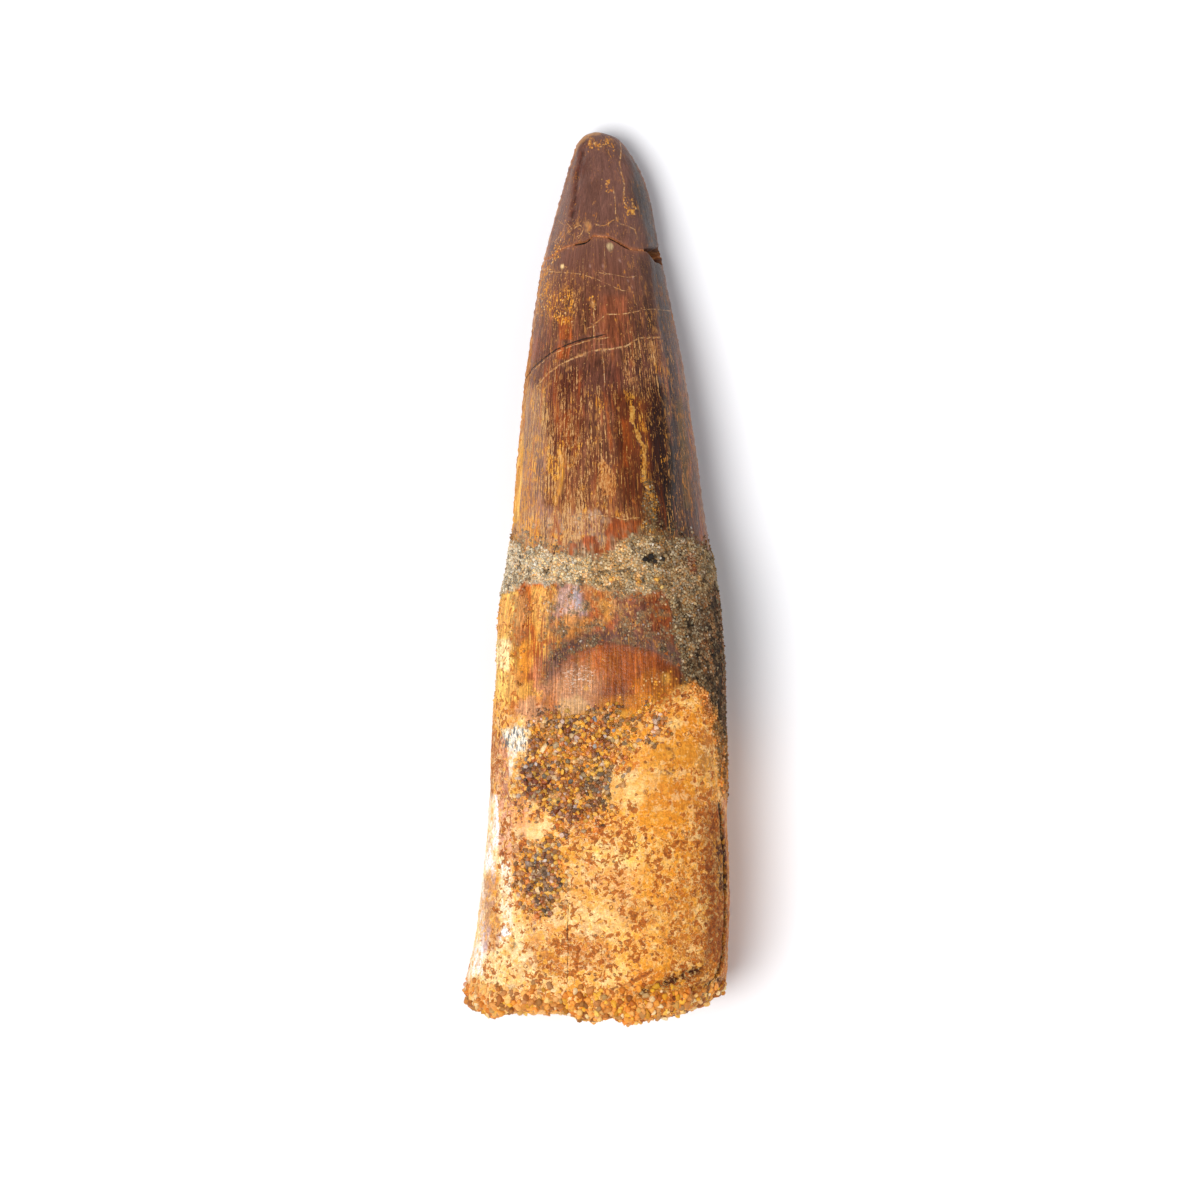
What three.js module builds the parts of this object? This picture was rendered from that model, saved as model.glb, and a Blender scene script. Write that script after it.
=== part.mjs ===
// A fossil theropod tooth lying on its side: fluted conical crown, a shoulder
// where the enamel ends, a long root with a broken end, and the thin crust of
// cemented sand that still clings to both. One natural piece, so one mesh.
//
// Millimetres, +Z up. The tooth lies along Y with its point towards +Y, and it
// rests on two small flat spots at Z = 0, one under the root and one under the
// crown. The origin is the middle of the bottom of its bounding box.

import * as THREE from 'three';

// ---------------------------------------------------------------- dimensions

// Axial stations from the point to the broken end:
// [axial position, left edge, right edge, underside, upper side]
const STATIONS = [
  [44.995, -0.101, -0.101, 3.75, 3.75],
  [44.844, -0.758, 0.657, 3.05, 4.55],
  [44.642, -1.212, 1.364, 2.65, 4.95],
  [44.339, -1.616, 2.02, 2.25, 5.35],
  [43.935, -2.02, 2.475, 1.85, 5.8],
  [43.228, -2.373, 3.03, 1.4, 6.35],
  [42.218, -2.677, 3.687, 1.0, 6.95],
  [41.006, -3.081, 4.394, 0.62, 7.55],
  [39.794, -3.404, 4.899, 0.3, 8.1],
  [37.37, -4.091, 5.555, -0.14, 9.05],
  [34.946, -4.747, 5.989, -0.4, 9.95],
  [32.522, -5.383, 6.413, -0.54, 10.75],
  [30.098, -5.909, 6.919, -0.6, 11.5],
  [27.674, -6.312, 7.424, -0.56, 12.2],
  [25.25, -6.666, 7.929, -0.42, 12.85],
  [22.826, -7.02, 8.413, -0.22, 13.45],
  [20.402, -7.383, 8.858, 0.0, 14.05],
  [17.978, -7.646, 9.262, 0.18, 14.6],
  [15.554, -7.848, 9.565, 0.34, 15.1],
  [13.13, -8.07, 9.949, 0.48, 15.6],
  [10.706, -8.312, 10.272, 0.52, 16.1],
  [8.282, -8.504, 10.555, 0.54, 16.55],
  [5.858, -8.636, 10.908, 0.55, 16.95],
  [3.434, -8.807, 11.292, 0.52, 17.3],
  [1.616, -8.959, 11.595, 0.48, 17.55],
  [-0.202, -9.282, 11.868, 0.42, 17.9],
  [-2.222, -9.787, 12.171, 0.36, 18.3],
  [-4.242, -10.029, 12.373, 0.32, 18.6],
  [-7.272, -10.151, 12.605, 0.27, 18.85],
  [-10.302, -10.252, 12.756, 0.2, 19.0],
  [-13.332, -10.433, 12.797, 0.12, 19.1],
  [-16.362, -10.595, 12.817, 0.03, 19.2],
  [-19.392, -10.676, 12.878, -0.07, 19.3],
  [-22.422, -10.757, 12.928, -0.15, 19.35],
  [-25.452, -10.928, 12.999, -0.21, 19.4],
  [-28.482, -11.231, 13.12, -0.25, 19.45],
  [-31.512, -11.565, 13.221, -0.26, 19.5],
  [-34.542, -11.948, 13.201, -0.24, 19.5],
  [-37.572, -12.393, 13.08, -0.18, 19.45],
  [-40.097, -12.878, 12.979, -0.1, 19.35],
  [-42.622, -13.13, 12.928, 0.05, 19.2],
  [-45.45, -13.181, 12.878, 0.25, 19.0],
];

// Outline of the broken end seen from above: [across, axial position]
const BROKEN_EDGE = [
  [-13.2, -41.2], [-12.9, -42.6], [-12.3, -43.94], [-11.46, -44.0], [-10.66, -44.44],
  [-9.85, -44.24], [-9.04, -44.04], [-7.42, -43.94], [-6.6, -44.04], [-4.99, -43.84],
  [-3.38, -43.94], [-1.77, -44.44], [-0.15, -44.84], [1.46, -44.44], [3.08, -45.0],
  [4.7, -44.74], [6.31, -44.44], [7.12, -44.44], [7.93, -44.04], [9.55, -43.63],
  [11.16, -42.93], [11.97, -41.31], [12.78, -40.1], [13.3, -39.4],
];

// Height of the widest line (the cutting edges) between underside and top.
const EDGE_LEVEL = 0.47;

// Squareness of the section: 2 is an ellipse, more is boxier.
const CROWN_POWER = 2.12;
const ROOT_POWER_UPPER_RIGHT = 3.0;
const ROOT_POWER_UPPER_LEFT = 2.45;
const ROOT_POWER_LOWER = 2.5;
const SHOULDER_FROM = 4.0; // crown section ends
const SHOULDER_TO = -9.0; // root section starts

// Cutting edges (carinae) along both sides of the crown.
const CARINA_HEIGHT = 0.26;
const CARINA_SPREAD = 0.17; // radians

// Long facets of the crown: angle of each arris and its height.
const ARRISES = [
  { angle: 1.12, height: 0.16, spread: 0.2 },
  { angle: 2.08, height: 0.12, spread: 0.18 },
  { angle: -1.0, height: 0.1, spread: 0.25 },
];

// Transverse fracture near the point. Its path over the upper side and over
// the underside, as [across, from -1 to 1 of the half width, axial position].
const FRACTURE_Y = 33.2;
const FRACTURE_DEPTH = 0.34;
const FRACTURE_HALF_WIDTH = 0.2;
const FRACTURE_UPPER = [
  [-1, 31.92], [-0.89, 32.22], [-0.79, 32.72], [-0.65, 33.13], [-0.46, 33.43],
  [-0.32, 33.53], [-0.21, 33.94], [-0.17, 34.24], [-0.05, 34.14], [0.09, 34.04],
  [0.21, 33.73], [0.35, 33.23], [0.49, 32.83], [0.75, 32.72], [1, 32.3],
];
const FRACTURE_LOWER = [
  [-1, 31.92], [-0.7, 32.35], [-0.3, 32.6], [0.1, 33.3], [0.4, 33.6], [0.75, 33.1], [1, 32.3],
];
// Chip missing where the fracture reaches the right-hand edge.
const CHIP_DEPTH = 0.75;
const CHIP_HALF_LENGTH = 0.62;
const CHIP_SPREAD = 0.36; // radians

// Cemented sand: [across, axial position, half width, half length, height],
// on the upper side, and a collar right round the shoulder.
const CRUST_HEIGHT = 0.42;
const COLLAR_Y = 0.6;
const COLLAR_HALF_LENGTH = 2.4;
const CRUST_PATCHES = [
  [-2.6, -18.6, 4.3, 5.2, 0.55],
  [-5.6, -29.8, 2.1, 3.4, 0.5],
  [5.2, 3.1, 4.4, 1.5, 0.35],
  [10.8, -6.5, 2.3, 8.0, 0.3],
];

// Uneven root surface and broken end.
const ROOT_RELIEF = 0.22;
const END_ROUNDING = 1.7;
const FILLING_RECESS = 0.9;

// Resolution.
const RINGS_CROWN = 26;
const RINGS_ROOT = 32;
const SEGMENTS = 52;

// ------------------------------------------------------------------- helpers

const clamp01 = (v) => Math.min(1, Math.max(0, v));
const smooth = (a, b, v) => {
  const t = clamp01((v - a) / (b - a));
  return t * t * (3 - 2 * t);
};
const bell = (v, w) => Math.exp(-((v / w) ** 2));
const mix = (a, b, t) => a + (b - a) * t;

function table(rows, x) {
  const up = rows[rows.length - 1][0] > rows[0][0];
  const key = (i) => (up ? rows[i][0] : -rows[i][0]);
  const q = up ? x : -x;
  if (q <= key(0)) return rows[0][1];
  for (let i = 1; i < rows.length; i++) {
    if (q <= key(i)) {
      return mix(rows[i - 1][1], rows[i][1], (q - key(i - 1)) / (key(i) - key(i - 1)));
    }
  }
  return rows[rows.length - 1][1];
}

// Cubic curve through the stations, column c, at axial position y.
function station(c, y) {
  const n = STATIONS.length;
  if (y >= STATIONS[0][0]) return STATIONS[0][c];
  if (y <= STATIONS[n - 1][0]) return STATIONS[n - 1][c];
  let i = 0;
  while (STATIONS[i + 1][0] > y) i++;
  const slope = (k) => {
    const a = Math.max(0, k - 1);
    const b = Math.min(n - 1, k + 1);
    return (STATIONS[b][c] - STATIONS[a][c]) / (STATIONS[b][0] - STATIONS[a][0]);
  };
  const y0 = STATIONS[i][0];
  const y1 = STATIONS[i + 1][0];
  const p0 = STATIONS[i][c];
  const p1 = STATIONS[i + 1][c];
  const h = y1 - y0;
  const t = (y - y0) / h;
  if (i < 6) return mix(p0, p1, t);
  const m0 = slope(i) * h;
  const m1 = slope(i + 1) * h;
  const t2 = t * t;
  const t3 = t2 * t;
  return (2 * t3 - 3 * t2 + 1) * p0 + (t3 - 2 * t2 + t) * m0
    + (-2 * t3 + 3 * t2) * p1 + (t3 - t2) * m1;
}

// Repeatable lattice noise from -1 to 1.
function lattice(i, j, k) {
  let h = Math.imul(i, 374761393) + Math.imul(j, 668265263) + Math.imul(k, 1274126177);
  h = Math.imul(h ^ (h >>> 13), 1103515245);
  h ^= h >>> 16;
  return ((h >>> 0) / 4294967295) * 2 - 1;
}

function noise(x, y, z) {
  const i = Math.floor(x);
  const j = Math.floor(y);
  const k = Math.floor(z);
  const fade = (t) => t * t * (3 - 2 * t);
  const u = fade(x - i);
  const v = fade(y - j);
  const w = fade(z - k);
  const edge = (dj, dk) => mix(lattice(i, j + dj, k + dk), lattice(i + 1, j + dj, k + dk), u);
  return mix(mix(edge(0, 0), edge(1, 0), v), mix(edge(0, 1), edge(1, 1), v), w);
}

// Shortest signed difference between two angles.
const turn = (a, b) => Math.atan2(Math.sin(a - b), Math.cos(a - b));

// ------------------------------------------------------------------- surface

// Plain section at axial position y. t is 0 at the right-hand edge and a
// quarter turn at the top.
function section(y, t) {
  const left = station(1, y);
  const right = station(2, y);
  const under = station(3, y);
  const top = station(4, y);
  const mid = mix(under, top, EDGE_LEVEL);
  const centre = (left + right) / 2;
  const half = (right - left) / 2;
  const root = smooth(SHOULDER_FROM, SHOULDER_TO, y);
  const c = Math.cos(t);
  const s = Math.sin(t);
  let power = ROOT_POWER_LOWER;
  if (s > 0) power = c > 0 ? ROOT_POWER_UPPER_RIGHT : ROOT_POWER_UPPER_LEFT;
  power = mix(CROWN_POWER, power, root);
  const bend = (v) => Math.sign(v) * Math.abs(v) ** (2 / power);
  return {
    x: centre + half * bend(c),
    z: mid + (s > 0 ? top - mid : mid - under) * bend(s),
    centre,
    half,
    mid,
    root,
  };
}

// Axial position of the fracture at angle t.
function fractureAt(t) {
  const across = Math.cos(t);
  return table(Math.sin(t) >= 0 ? FRACTURE_UPPER : FRACTURE_LOWER, across);
}

// Raised (or, below zero, sunken) height of the surface at a point.
function relief(x, y, z, t, root, upper) {
  const crown = 1 - root;
  let h = 0;
  for (const a of ARRISES) h += a.height * crown * bell(turn(t, a.angle), a.spread);
  h += ROOT_RELIEF * root * (0.6 * noise(x / 4.2, y / 5, z / 4.2) + 0.4 * noise(x / 1.9 + 7, y / 2.1, z / 1.9));
  h += 0.05 * noise(x / 3, y / 6, z / 3);

  const fracture = y - fractureAt(t);
  h -= FRACTURE_DEPTH * bell(fracture, FRACTURE_HALF_WIDTH);
  h -= CHIP_DEPTH * bell(fracture + 0.1, CHIP_HALF_LENGTH) * bell(turn(t, 0.06), CHIP_SPREAD);

  const collar = y - COLLAR_Y - 0.5 * noise(x / 3, 3, z / 3);
  let crust = CRUST_HEIGHT * (1 - smooth(0.75, 1.1, Math.abs(collar) / COLLAR_HALF_LENGTH));
  if (upper) {
    for (const [px, py, w, l, height] of CRUST_PATCHES) {
      const d = Math.hypot((x - px) / w, (y - py) / l);
      crust = Math.max(crust, height * (1 - smooth(0.7, 1.1, d)));
    }
  }
  h += crust * (0.75 + 0.35 * noise(x / 1.3, y / 1.3, z / 1.3));
  return h;
}

// One ring of points. inset shrinks it towards its own middle (mm).
function ring(y0, inset, sink, wall) {
  const points = [];
  for (let i = 0; i < SEGMENTS; i++) {
    const t = (i / SEGMENTS) * Math.PI * 2;
    // Rings near the fracture run along it.
    let y = y0 + (fractureAt(t) - FRACTURE_Y) * (1 - smooth(0.25, 3.4, Math.abs(y0 - FRACTURE_Y)));
    const flat = section(y, t);
    // Rings near the broken end follow its ragged outline, and level out
    // towards the filling in the middle.
    const inward = Math.max(0.04, 1 - inset / (Math.hypot(flat.x - flat.centre, flat.z - flat.mid) || 1));
    const ex = flat.centre + (flat.x - flat.centre) * inward;
    const ez = flat.mid + (flat.z - flat.mid) * inward;
    const outline = table(BROKEN_EDGE, Math.min(11.3, Math.max(-12.3, ex)));
    const end = mix(outline, -44.3, smooth(1.5, 6, inset)) + 0.35 * noise(ex / 2.2, 9, ez / 2.2);
    const last = STATIONS[STATIONS.length - 1][0];
    if (y < -30) y = -30 - ((-30 - y) / (-30 - last)) * (-30 - end - END_ROUNDING);
    if (!wall) y = end + sink;
    const p = section(y, t);
    const dx = p.x - p.centre;
    const dz = p.z - p.mid;
    const away = Math.hypot(dx, dz) || 1;
    const upper = Math.sin(t) > 0.15;
    let grow = wall ? relief(p.x, y, p.z, t, p.root, upper) : 0.12 * noise(p.x / 1.6, y / 1.6, p.z / 1.6);
    // Full relief on the upper side, less near the side edges, so that the width stays true.
    grow *= wall ? mix(0.35, 1, Math.abs(Math.sin(t))) : 1;
    if (p.root < 1 && wall) {
      const side = Math.min(Math.abs(turn(t, 0)), Math.abs(turn(t, Math.PI)));
      grow -= CARINA_HEIGHT * (1 - p.root) * smooth(44.9, 42.5, y) * (1 - bell(side, CARINA_SPREAD));
    }
    const keep = Math.max(0.04, 1 + (grow - inset) / away);
    points.push(new THREE.Vector3(
      p.centre + dx * keep,
      y,
      Math.max(0, p.mid + dz * keep),
    ));
  }
  return points;
}

function buildTooth() {
  const rings = [];
  const tip = STATIONS[0];
  const placed = [44.86, 44.6, 44.2, 43.55, 42.6, 41.4, 40.0, 38.4, 36.9, 35.6, 34.6, 33.75];
  for (const y of placed) rings.push(ring(y, 0, 0, true));
  for (const d of [0.24, 0, -0.24]) rings.push(ring(FRACTURE_Y + d, 0, 0, true));
  for (let i = 0; i < RINGS_CROWN; i++) {
    rings.push(ring(mix(32.6, 0.8, i / RINGS_CROWN), 0, 0, true));
  }
  const last = STATIONS[STATIONS.length - 1][0];
  for (let i = 0; i <= RINGS_ROOT; i++) {
    rings.push(ring(mix(0.8, last, i / RINGS_ROOT), 0, 0, true));
  }
  for (const [inset, sink] of [
    [0.25, 0.95], [0.75, 0.4], [1.5, 0.08], [2.6, 0.0], [3.7, 0.35], [5.4, FILLING_RECESS], [7.6, FILLING_RECESS + 0.1],
  ]) rings.push(ring(last, inset, sink, false));

  const positions = [];
  for (const r of rings) for (const p of r) positions.push(p.x, p.y, p.z);
  const index = [];
  const at = (r, i) => r * SEGMENTS + ((i + SEGMENTS) % SEGMENTS);
  for (let r = 0; r + 1 < rings.length; r++) {
    for (let i = 0; i < SEGMENTS; i++) {
      const a = at(r, i);
      const b = at(r, i + 1);
      const c = at(r + 1, i);
      const d = at(r + 1, i + 1);
      if ((r + i) % 2) index.push(a, b, d, a, d, c);
      else index.push(a, b, c, b, d, c);
    }
  }
  const point = positions.length / 3;
  positions.push(tip[1], tip[0], tip[3]);
  const innermost = rings[rings.length - 1];
  const middle = innermost.reduce((s, p) => s.add(p), new THREE.Vector3()).divideScalar(SEGMENTS);
  const hub = positions.length / 3;
  positions.push(middle.x, middle.y + 0.1, middle.z);
  for (let i = 0; i < SEGMENTS; i++) {
    index.push(point, at(0, i + 1), at(0, i));
    index.push(hub, at(rings.length - 1, i), at(rings.length - 1, i + 1));
  }

  const geometry = new THREE.BufferGeometry();
  geometry.setAttribute('position', new THREE.Float32BufferAttribute(positions, 3));
  geometry.setIndex(index);
  geometry.computeBoundingBox();
  const box = geometry.boundingBox;
  geometry.translate(-(box.min.x + box.max.x) / 2, -(box.min.y + box.max.y) / 2, -box.min.z);
  geometry.computeVertexNormals();
  return geometry;
}

const fossil = new THREE.MeshStandardMaterial({ color: 0x9a5a2c, roughness: 0.5, metalness: 0 });
const tooth = new THREE.Mesh(buildTooth(), fossil);
tooth.name = 'tooth';

const group = new THREE.Group();
group.add(tooth);

export default group;
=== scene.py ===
"""Looks of a fossil theropod tooth: enamelled crown, stained root, cemented sand.

Lengths in this file are millimetres until a mesh is made, which is in metres.
Places on the upper side are written as pixels of the 1200 x 1200 frame, at
0.101 mm to the pixel, and turned into (s, y): s runs over the surface across
the tooth, 0 along the middle of the upper side and positive to the right.
"""

import math

import bpy
import numpy as np
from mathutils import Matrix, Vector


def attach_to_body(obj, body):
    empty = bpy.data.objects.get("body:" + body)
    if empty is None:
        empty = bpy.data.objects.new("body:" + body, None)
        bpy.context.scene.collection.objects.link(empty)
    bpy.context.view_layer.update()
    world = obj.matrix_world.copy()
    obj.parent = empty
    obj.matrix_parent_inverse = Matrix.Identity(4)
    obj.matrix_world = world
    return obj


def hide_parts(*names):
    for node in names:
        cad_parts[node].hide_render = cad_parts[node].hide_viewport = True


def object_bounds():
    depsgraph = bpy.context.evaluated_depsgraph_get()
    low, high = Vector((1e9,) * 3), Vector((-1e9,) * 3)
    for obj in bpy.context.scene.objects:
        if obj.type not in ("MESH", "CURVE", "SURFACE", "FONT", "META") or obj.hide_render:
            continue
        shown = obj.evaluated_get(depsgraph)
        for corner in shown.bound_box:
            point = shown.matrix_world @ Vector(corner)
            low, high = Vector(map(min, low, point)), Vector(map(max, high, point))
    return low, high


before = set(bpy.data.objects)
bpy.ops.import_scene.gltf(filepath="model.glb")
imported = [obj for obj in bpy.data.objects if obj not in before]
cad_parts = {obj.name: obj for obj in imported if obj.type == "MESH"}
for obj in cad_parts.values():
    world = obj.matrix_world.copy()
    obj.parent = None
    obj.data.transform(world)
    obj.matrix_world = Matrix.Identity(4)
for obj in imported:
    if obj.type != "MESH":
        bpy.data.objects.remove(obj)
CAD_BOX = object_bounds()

MM = 0.001

# --------------------------------------------------------------------------
# Shape, the same driving numbers as the CAD part
# --------------------------------------------------------------------------

PX = 0.101  # mm per pixel
PX_X0, PX_Y0 = 597.5, 578.0

# axial position, left edge, right edge, underside, upper side
STATIONS = np.array([
    [44.995, -0.101, -0.101, 3.75, 3.75],
    [44.844, -0.758, 0.657, 3.05, 4.55],
    [44.642, -1.212, 1.364, 2.65, 4.95],
    [44.339, -1.616, 2.02, 2.25, 5.35],
    [43.935, -2.02, 2.475, 1.85, 5.8],
    [43.228, -2.373, 3.03, 1.4, 6.35],
    [42.218, -2.677, 3.687, 1.0, 6.95],
    [41.006, -3.081, 4.394, 0.62, 7.55],
    [39.794, -3.404, 4.899, 0.3, 8.1],
    [37.37, -4.091, 5.555, -0.14, 9.05],
    [34.946, -4.747, 5.989, -0.4, 9.95],
    [32.522, -5.383, 6.413, -0.54, 10.75],
    [30.098, -5.909, 6.919, -0.6, 11.5],
    [27.674, -6.312, 7.424, -0.56, 12.2],
    [25.25, -6.666, 7.929, -0.42, 12.85],
    [22.826, -7.02, 8.413, -0.22, 13.45],
    [20.402, -7.383, 8.858, 0.0, 14.05],
    [17.978, -7.646, 9.262, 0.18, 14.6],
    [15.554, -7.848, 9.565, 0.34, 15.1],
    [13.13, -8.07, 9.949, 0.48, 15.6],
    [10.706, -8.312, 10.272, 0.52, 16.1],
    [8.282, -8.504, 10.555, 0.54, 16.55],
    [5.858, -8.636, 10.908, 0.55, 16.95],
    [3.434, -8.807, 11.292, 0.52, 17.3],
    [1.616, -8.959, 11.595, 0.48, 17.55],
    [-0.202, -9.282, 11.868, 0.42, 17.9],
    [-2.222, -9.787, 12.171, 0.36, 18.3],
    [-4.242, -10.029, 12.373, 0.32, 18.6],
    [-7.272, -10.151, 12.605, 0.27, 18.85],
    [-10.302, -10.252, 12.756, 0.2, 19.0],
    [-13.332, -10.433, 12.797, 0.12, 19.1],
    [-16.362, -10.595, 12.817, 0.03, 19.2],
    [-19.392, -10.676, 12.878, -0.07, 19.3],
    [-22.422, -10.757, 12.928, -0.15, 19.35],
    [-25.452, -10.928, 12.999, -0.21, 19.4],
    [-28.482, -11.231, 13.12, -0.25, 19.45],
    [-31.512, -11.565, 13.221, -0.26, 19.5],
    [-34.542, -11.948, 13.201, -0.24, 19.5],
    [-37.572, -12.393, 13.08, -0.18, 19.45],
    [-40.097, -12.878, 12.979, -0.1, 19.35],
    [-42.622, -13.13, 12.928, 0.05, 19.2],
    [-45.45, -13.181, 12.878, 0.25, 19.0],
])
END_Y = STATIONS[-1, 0]

# outline of the broken end: across, axial position
BROKEN_EDGE = np.array([
    [-13.2, -41.2], [-12.9, -42.6], [-12.3, -43.94], [-11.46, -44.0], [-10.66, -44.44],
    [-9.85, -44.24], [-9.04, -44.04], [-7.42, -43.94], [-6.6, -44.04], [-4.99, -43.84],
    [-3.38, -43.94], [-1.77, -44.44], [-0.15, -44.84], [1.46, -44.44], [3.08, -45.0],
    [4.7, -44.74], [6.31, -44.44], [7.12, -44.44], [7.93, -44.04], [9.55, -43.63],
    [11.16, -42.93], [11.97, -41.31], [12.78, -40.1], [13.3, -39.4],
])
EDGE_LEVEL = 0.47
CROWN_POWER = 2.12
ROOT_POWER_UPPER_RIGHT = 3.0
ROOT_POWER_UPPER_LEFT = 2.45
ROOT_POWER_LOWER = 2.5
SHOULDER_FROM, SHOULDER_TO = 4.0, -9.0
CARINA_HEIGHT, CARINA_SPREAD = 0.26, 0.17
FRACTURE_Y = 33.2
FRACTURE_UPPER = np.array([
    [-1, 31.92], [-0.89, 32.22], [-0.79, 32.72], [-0.65, 33.13], [-0.46, 33.43],
    [-0.32, 33.53], [-0.21, 33.94], [-0.17, 34.24], [-0.05, 34.14], [0.09, 34.04],
    [0.21, 33.73], [0.35, 33.23], [0.49, 32.83], [0.75, 32.72], [1, 32.3],
])
FRACTURE_LOWER = np.array([
    [-1, 31.92], [-0.7, 32.35], [-0.3, 32.6], [0.1, 33.3], [0.4, 33.6], [0.75, 33.1], [1, 32.3],
])
END_ROUNDING = 1.7

# mesh resolution: rows along the tooth, columns over the upper and under side
N_ROWS = 392
N_TOP = 152
N_LOW = 84
END_RINGS = 26


def smooth(a, b, v):
    t = np.clip((v - a) / (b - a), 0.0, 1.0)
    return t * t * (3 - 2 * t)


def bell(v, w):
    return np.exp(-((v / w) ** 2))


def mix(a, b, t):
    return a + (b - a) * t


# ---- repeatable gradient noise ------------------------------------------

_rng = np.random.RandomState(11)
_PERM = _rng.permutation(1024)
_PERM = np.concatenate([_PERM, _PERM, _PERM])
_GRAD = _rng.normal(size=(1024, 3))
_GRAD /= np.linalg.norm(_GRAD, axis=1)[:, None]


def gnoise(p, seed=0):
    """Gradient noise from about -1 to 1 at points p (N, 3)."""
    p = np.asarray(p, float) + seed * 17.31
    i = np.floor(p).astype(np.int64)
    f = p - i
    u = f * f * f * (f * (f * 6 - 15) + 10)
    out = np.zeros(len(p))
    for dx in (0, 1):
        wx = u[:, 0] if dx else 1 - u[:, 0]
        hx = _PERM[(i[:, 0] + dx) & 1023]
        for dy in (0, 1):
            wy = u[:, 1] if dy else 1 - u[:, 1]
            hy = _PERM[hx + ((i[:, 1] + dy) & 1023)]
            for dz in (0, 1):
                wz = u[:, 2] if dz else 1 - u[:, 2]
                h = _PERM[hy + ((i[:, 2] + dz) & 1023)]
                g = _GRAD[h]
                d = g[:, 0] * (f[:, 0] - dx) + g[:, 1] * (f[:, 1] - dy) + g[:, 2] * (f[:, 2] - dz)
                out += d * wx * wy * wz
    return out * 1.7


def fbm(p, size, octaves=3, gain=0.5, seed=0):
    size = np.asarray(size, float)
    q = np.asarray(p, float) / size
    amp, total, out = 1.0, 0.0, 0.0
    for o in range(octaves):
        out = out + amp * gnoise(q * 2.0 ** o, seed + 7 * o)
        total += amp
        amp *= gain
    return out / total


# ---- section -------------------------------------------------------------

_W = np.sqrt(45.0 - STATIONS[:, 0])


def station(c, y):
    """Cubic curve through column c of the stations."""
    w = np.sqrt(np.maximum(45.0 - y, 0.0))
    w = np.clip(w, _W[0], _W[-1])
    p = STATIONS[:, c]
    m = np.empty_like(p)
    m[1:-1] = (p[2:] - p[:-2]) / (_W[2:] - _W[:-2])
    m[0] = (p[1] - p[0]) / (_W[1] - _W[0])
    m[-1] = (p[-1] - p[-2]) / (_W[-1] - _W[-2])
    i = np.clip(np.searchsorted(_W, w, side="right") - 1, 0, len(_W) - 2)
    h = _W[i + 1] - _W[i]
    t = (w - _W[i]) / h
    t2, t3 = t * t, t * t * t
    return ((2 * t3 - 3 * t2 + 1) * p[i] + (t3 - 2 * t2 + t) * m[i] * h
            + (-2 * t3 + 3 * t2) * p[i + 1] + (t3 - t2) * m[i + 1] * h)


def section(y, t):
    left, right = station(1, y), station(2, y)
    under, top = station(3, y), station(4, y)
    mid = mix(under, top, EDGE_LEVEL)
    centre, half = (left + right) / 2, (right - left) / 2
    root = smooth(SHOULDER_FROM, SHOULDER_TO, y)
    c, s = np.cos(t), np.sin(t)
    power = np.where(s > 0, np.where(c > 0, ROOT_POWER_UPPER_RIGHT, ROOT_POWER_UPPER_LEFT), ROOT_POWER_LOWER)
    power = mix(CROWN_POWER, power, root)
    bend = lambda v: np.sign(v) * np.abs(v) ** (2 / power)
    x = centre + half * bend(c)
    z = mid + np.where(s > 0, top - mid, mid - under) * bend(s)
    return x, z, centre, mid, root


def fracture_at(t):
    across = np.cos(t)
    upper = np.interp(across, FRACTURE_UPPER[:, 0], FRACTURE_UPPER[:, 1])
    lower = np.interp(across, FRACTURE_LOWER[:, 0], FRACTURE_LOWER[:, 1])
    return np.where(np.sin(t) >= 0, upper, lower)


def edge_y(x, z):
    """Axial position of the broken end."""
    p = np.stack([x / 2.2, np.full_like(x, 9.0), z / 2.2], -1).reshape(-1, 3)
    n = gnoise(p, 3).reshape(x.shape)
    return np.interp(np.clip(x, -12.3, 11.3), BROKEN_EDGE[:, 0], BROKEN_EDGE[:, 1]) + 0.3 * n


def wall(y0, t):
    """Plain surface of the side wall: points for rows y0 and angles t, both 2D."""
    y = y0 + (fracture_at(t) - FRACTURE_Y) * (1 - smooth(0.25, 3.4, np.abs(y0 - FRACTURE_Y)))
    x, z, *_ = section(y, t)
    end = edge_y(x, z)
    y = np.where(y < -30, -30 - ((-30 - y) / (-30 - END_Y)) * (-30 - end - END_ROUNDING), y)
    x, z, centre, mid, root = section(y, t)
    dx, dz = x - centre, z - mid
    away = np.maximum(np.hypot(dx, dz), 1e-4)
    ang = np.arctan2(np.sin(t), np.cos(t))
    side = np.minimum(np.abs(ang), np.pi - np.abs(ang))
    grow = -CARINA_HEIGHT * (1 - root) * smooth(44.9, 42.5, y) * (1 - bell(side, CARINA_SPREAD))
    keep = np.maximum(0.04, 1 + grow / away)
    return np.stack([centre + dx * keep, y, mid + dz * keep], -1)


def resample(y0_rows):
    """Columns at even steps over the surface: points, s and the side-edge s of each row."""
    t = np.linspace(-np.pi / 2, 1.5 * np.pi, 1441)
    T, Y0 = np.meshgrid(t, y0_rows)
    P = wall(Y0, T)
    step = np.linalg.norm(np.diff(P, axis=1), axis=2)
    L = np.concatenate([np.zeros((len(y0_rows), 1)), np.cumsum(step, axis=1)], axis=1)
    iR, iL = 360, 1080  # right and left edges, t = 0 and pi
    half = N_LOW // 2
    pts, ss, tt = [], [], []
    for r in range(len(y0_rows)):
        LR, LL, LT = L[r, iR], L[r, iL], L[r, -1]
        target = np.concatenate([
            np.linspace(0, LR, half, endpoint=False),
            np.linspace(LR, LL, N_TOP, endpoint=False),
            np.linspace(LL, LT, N_LOW - half + 1),
        ])
        tr = np.interp(target, L[r], t)
        pts.append(np.stack([np.interp(target, L[r], P[r, :, k]) for k in range(3)], -1))
        ss.append((LR + LL) / 2 - target)
        tt.append(tr)
    return np.array(pts), np.array(ss), np.array(tt)


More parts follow.
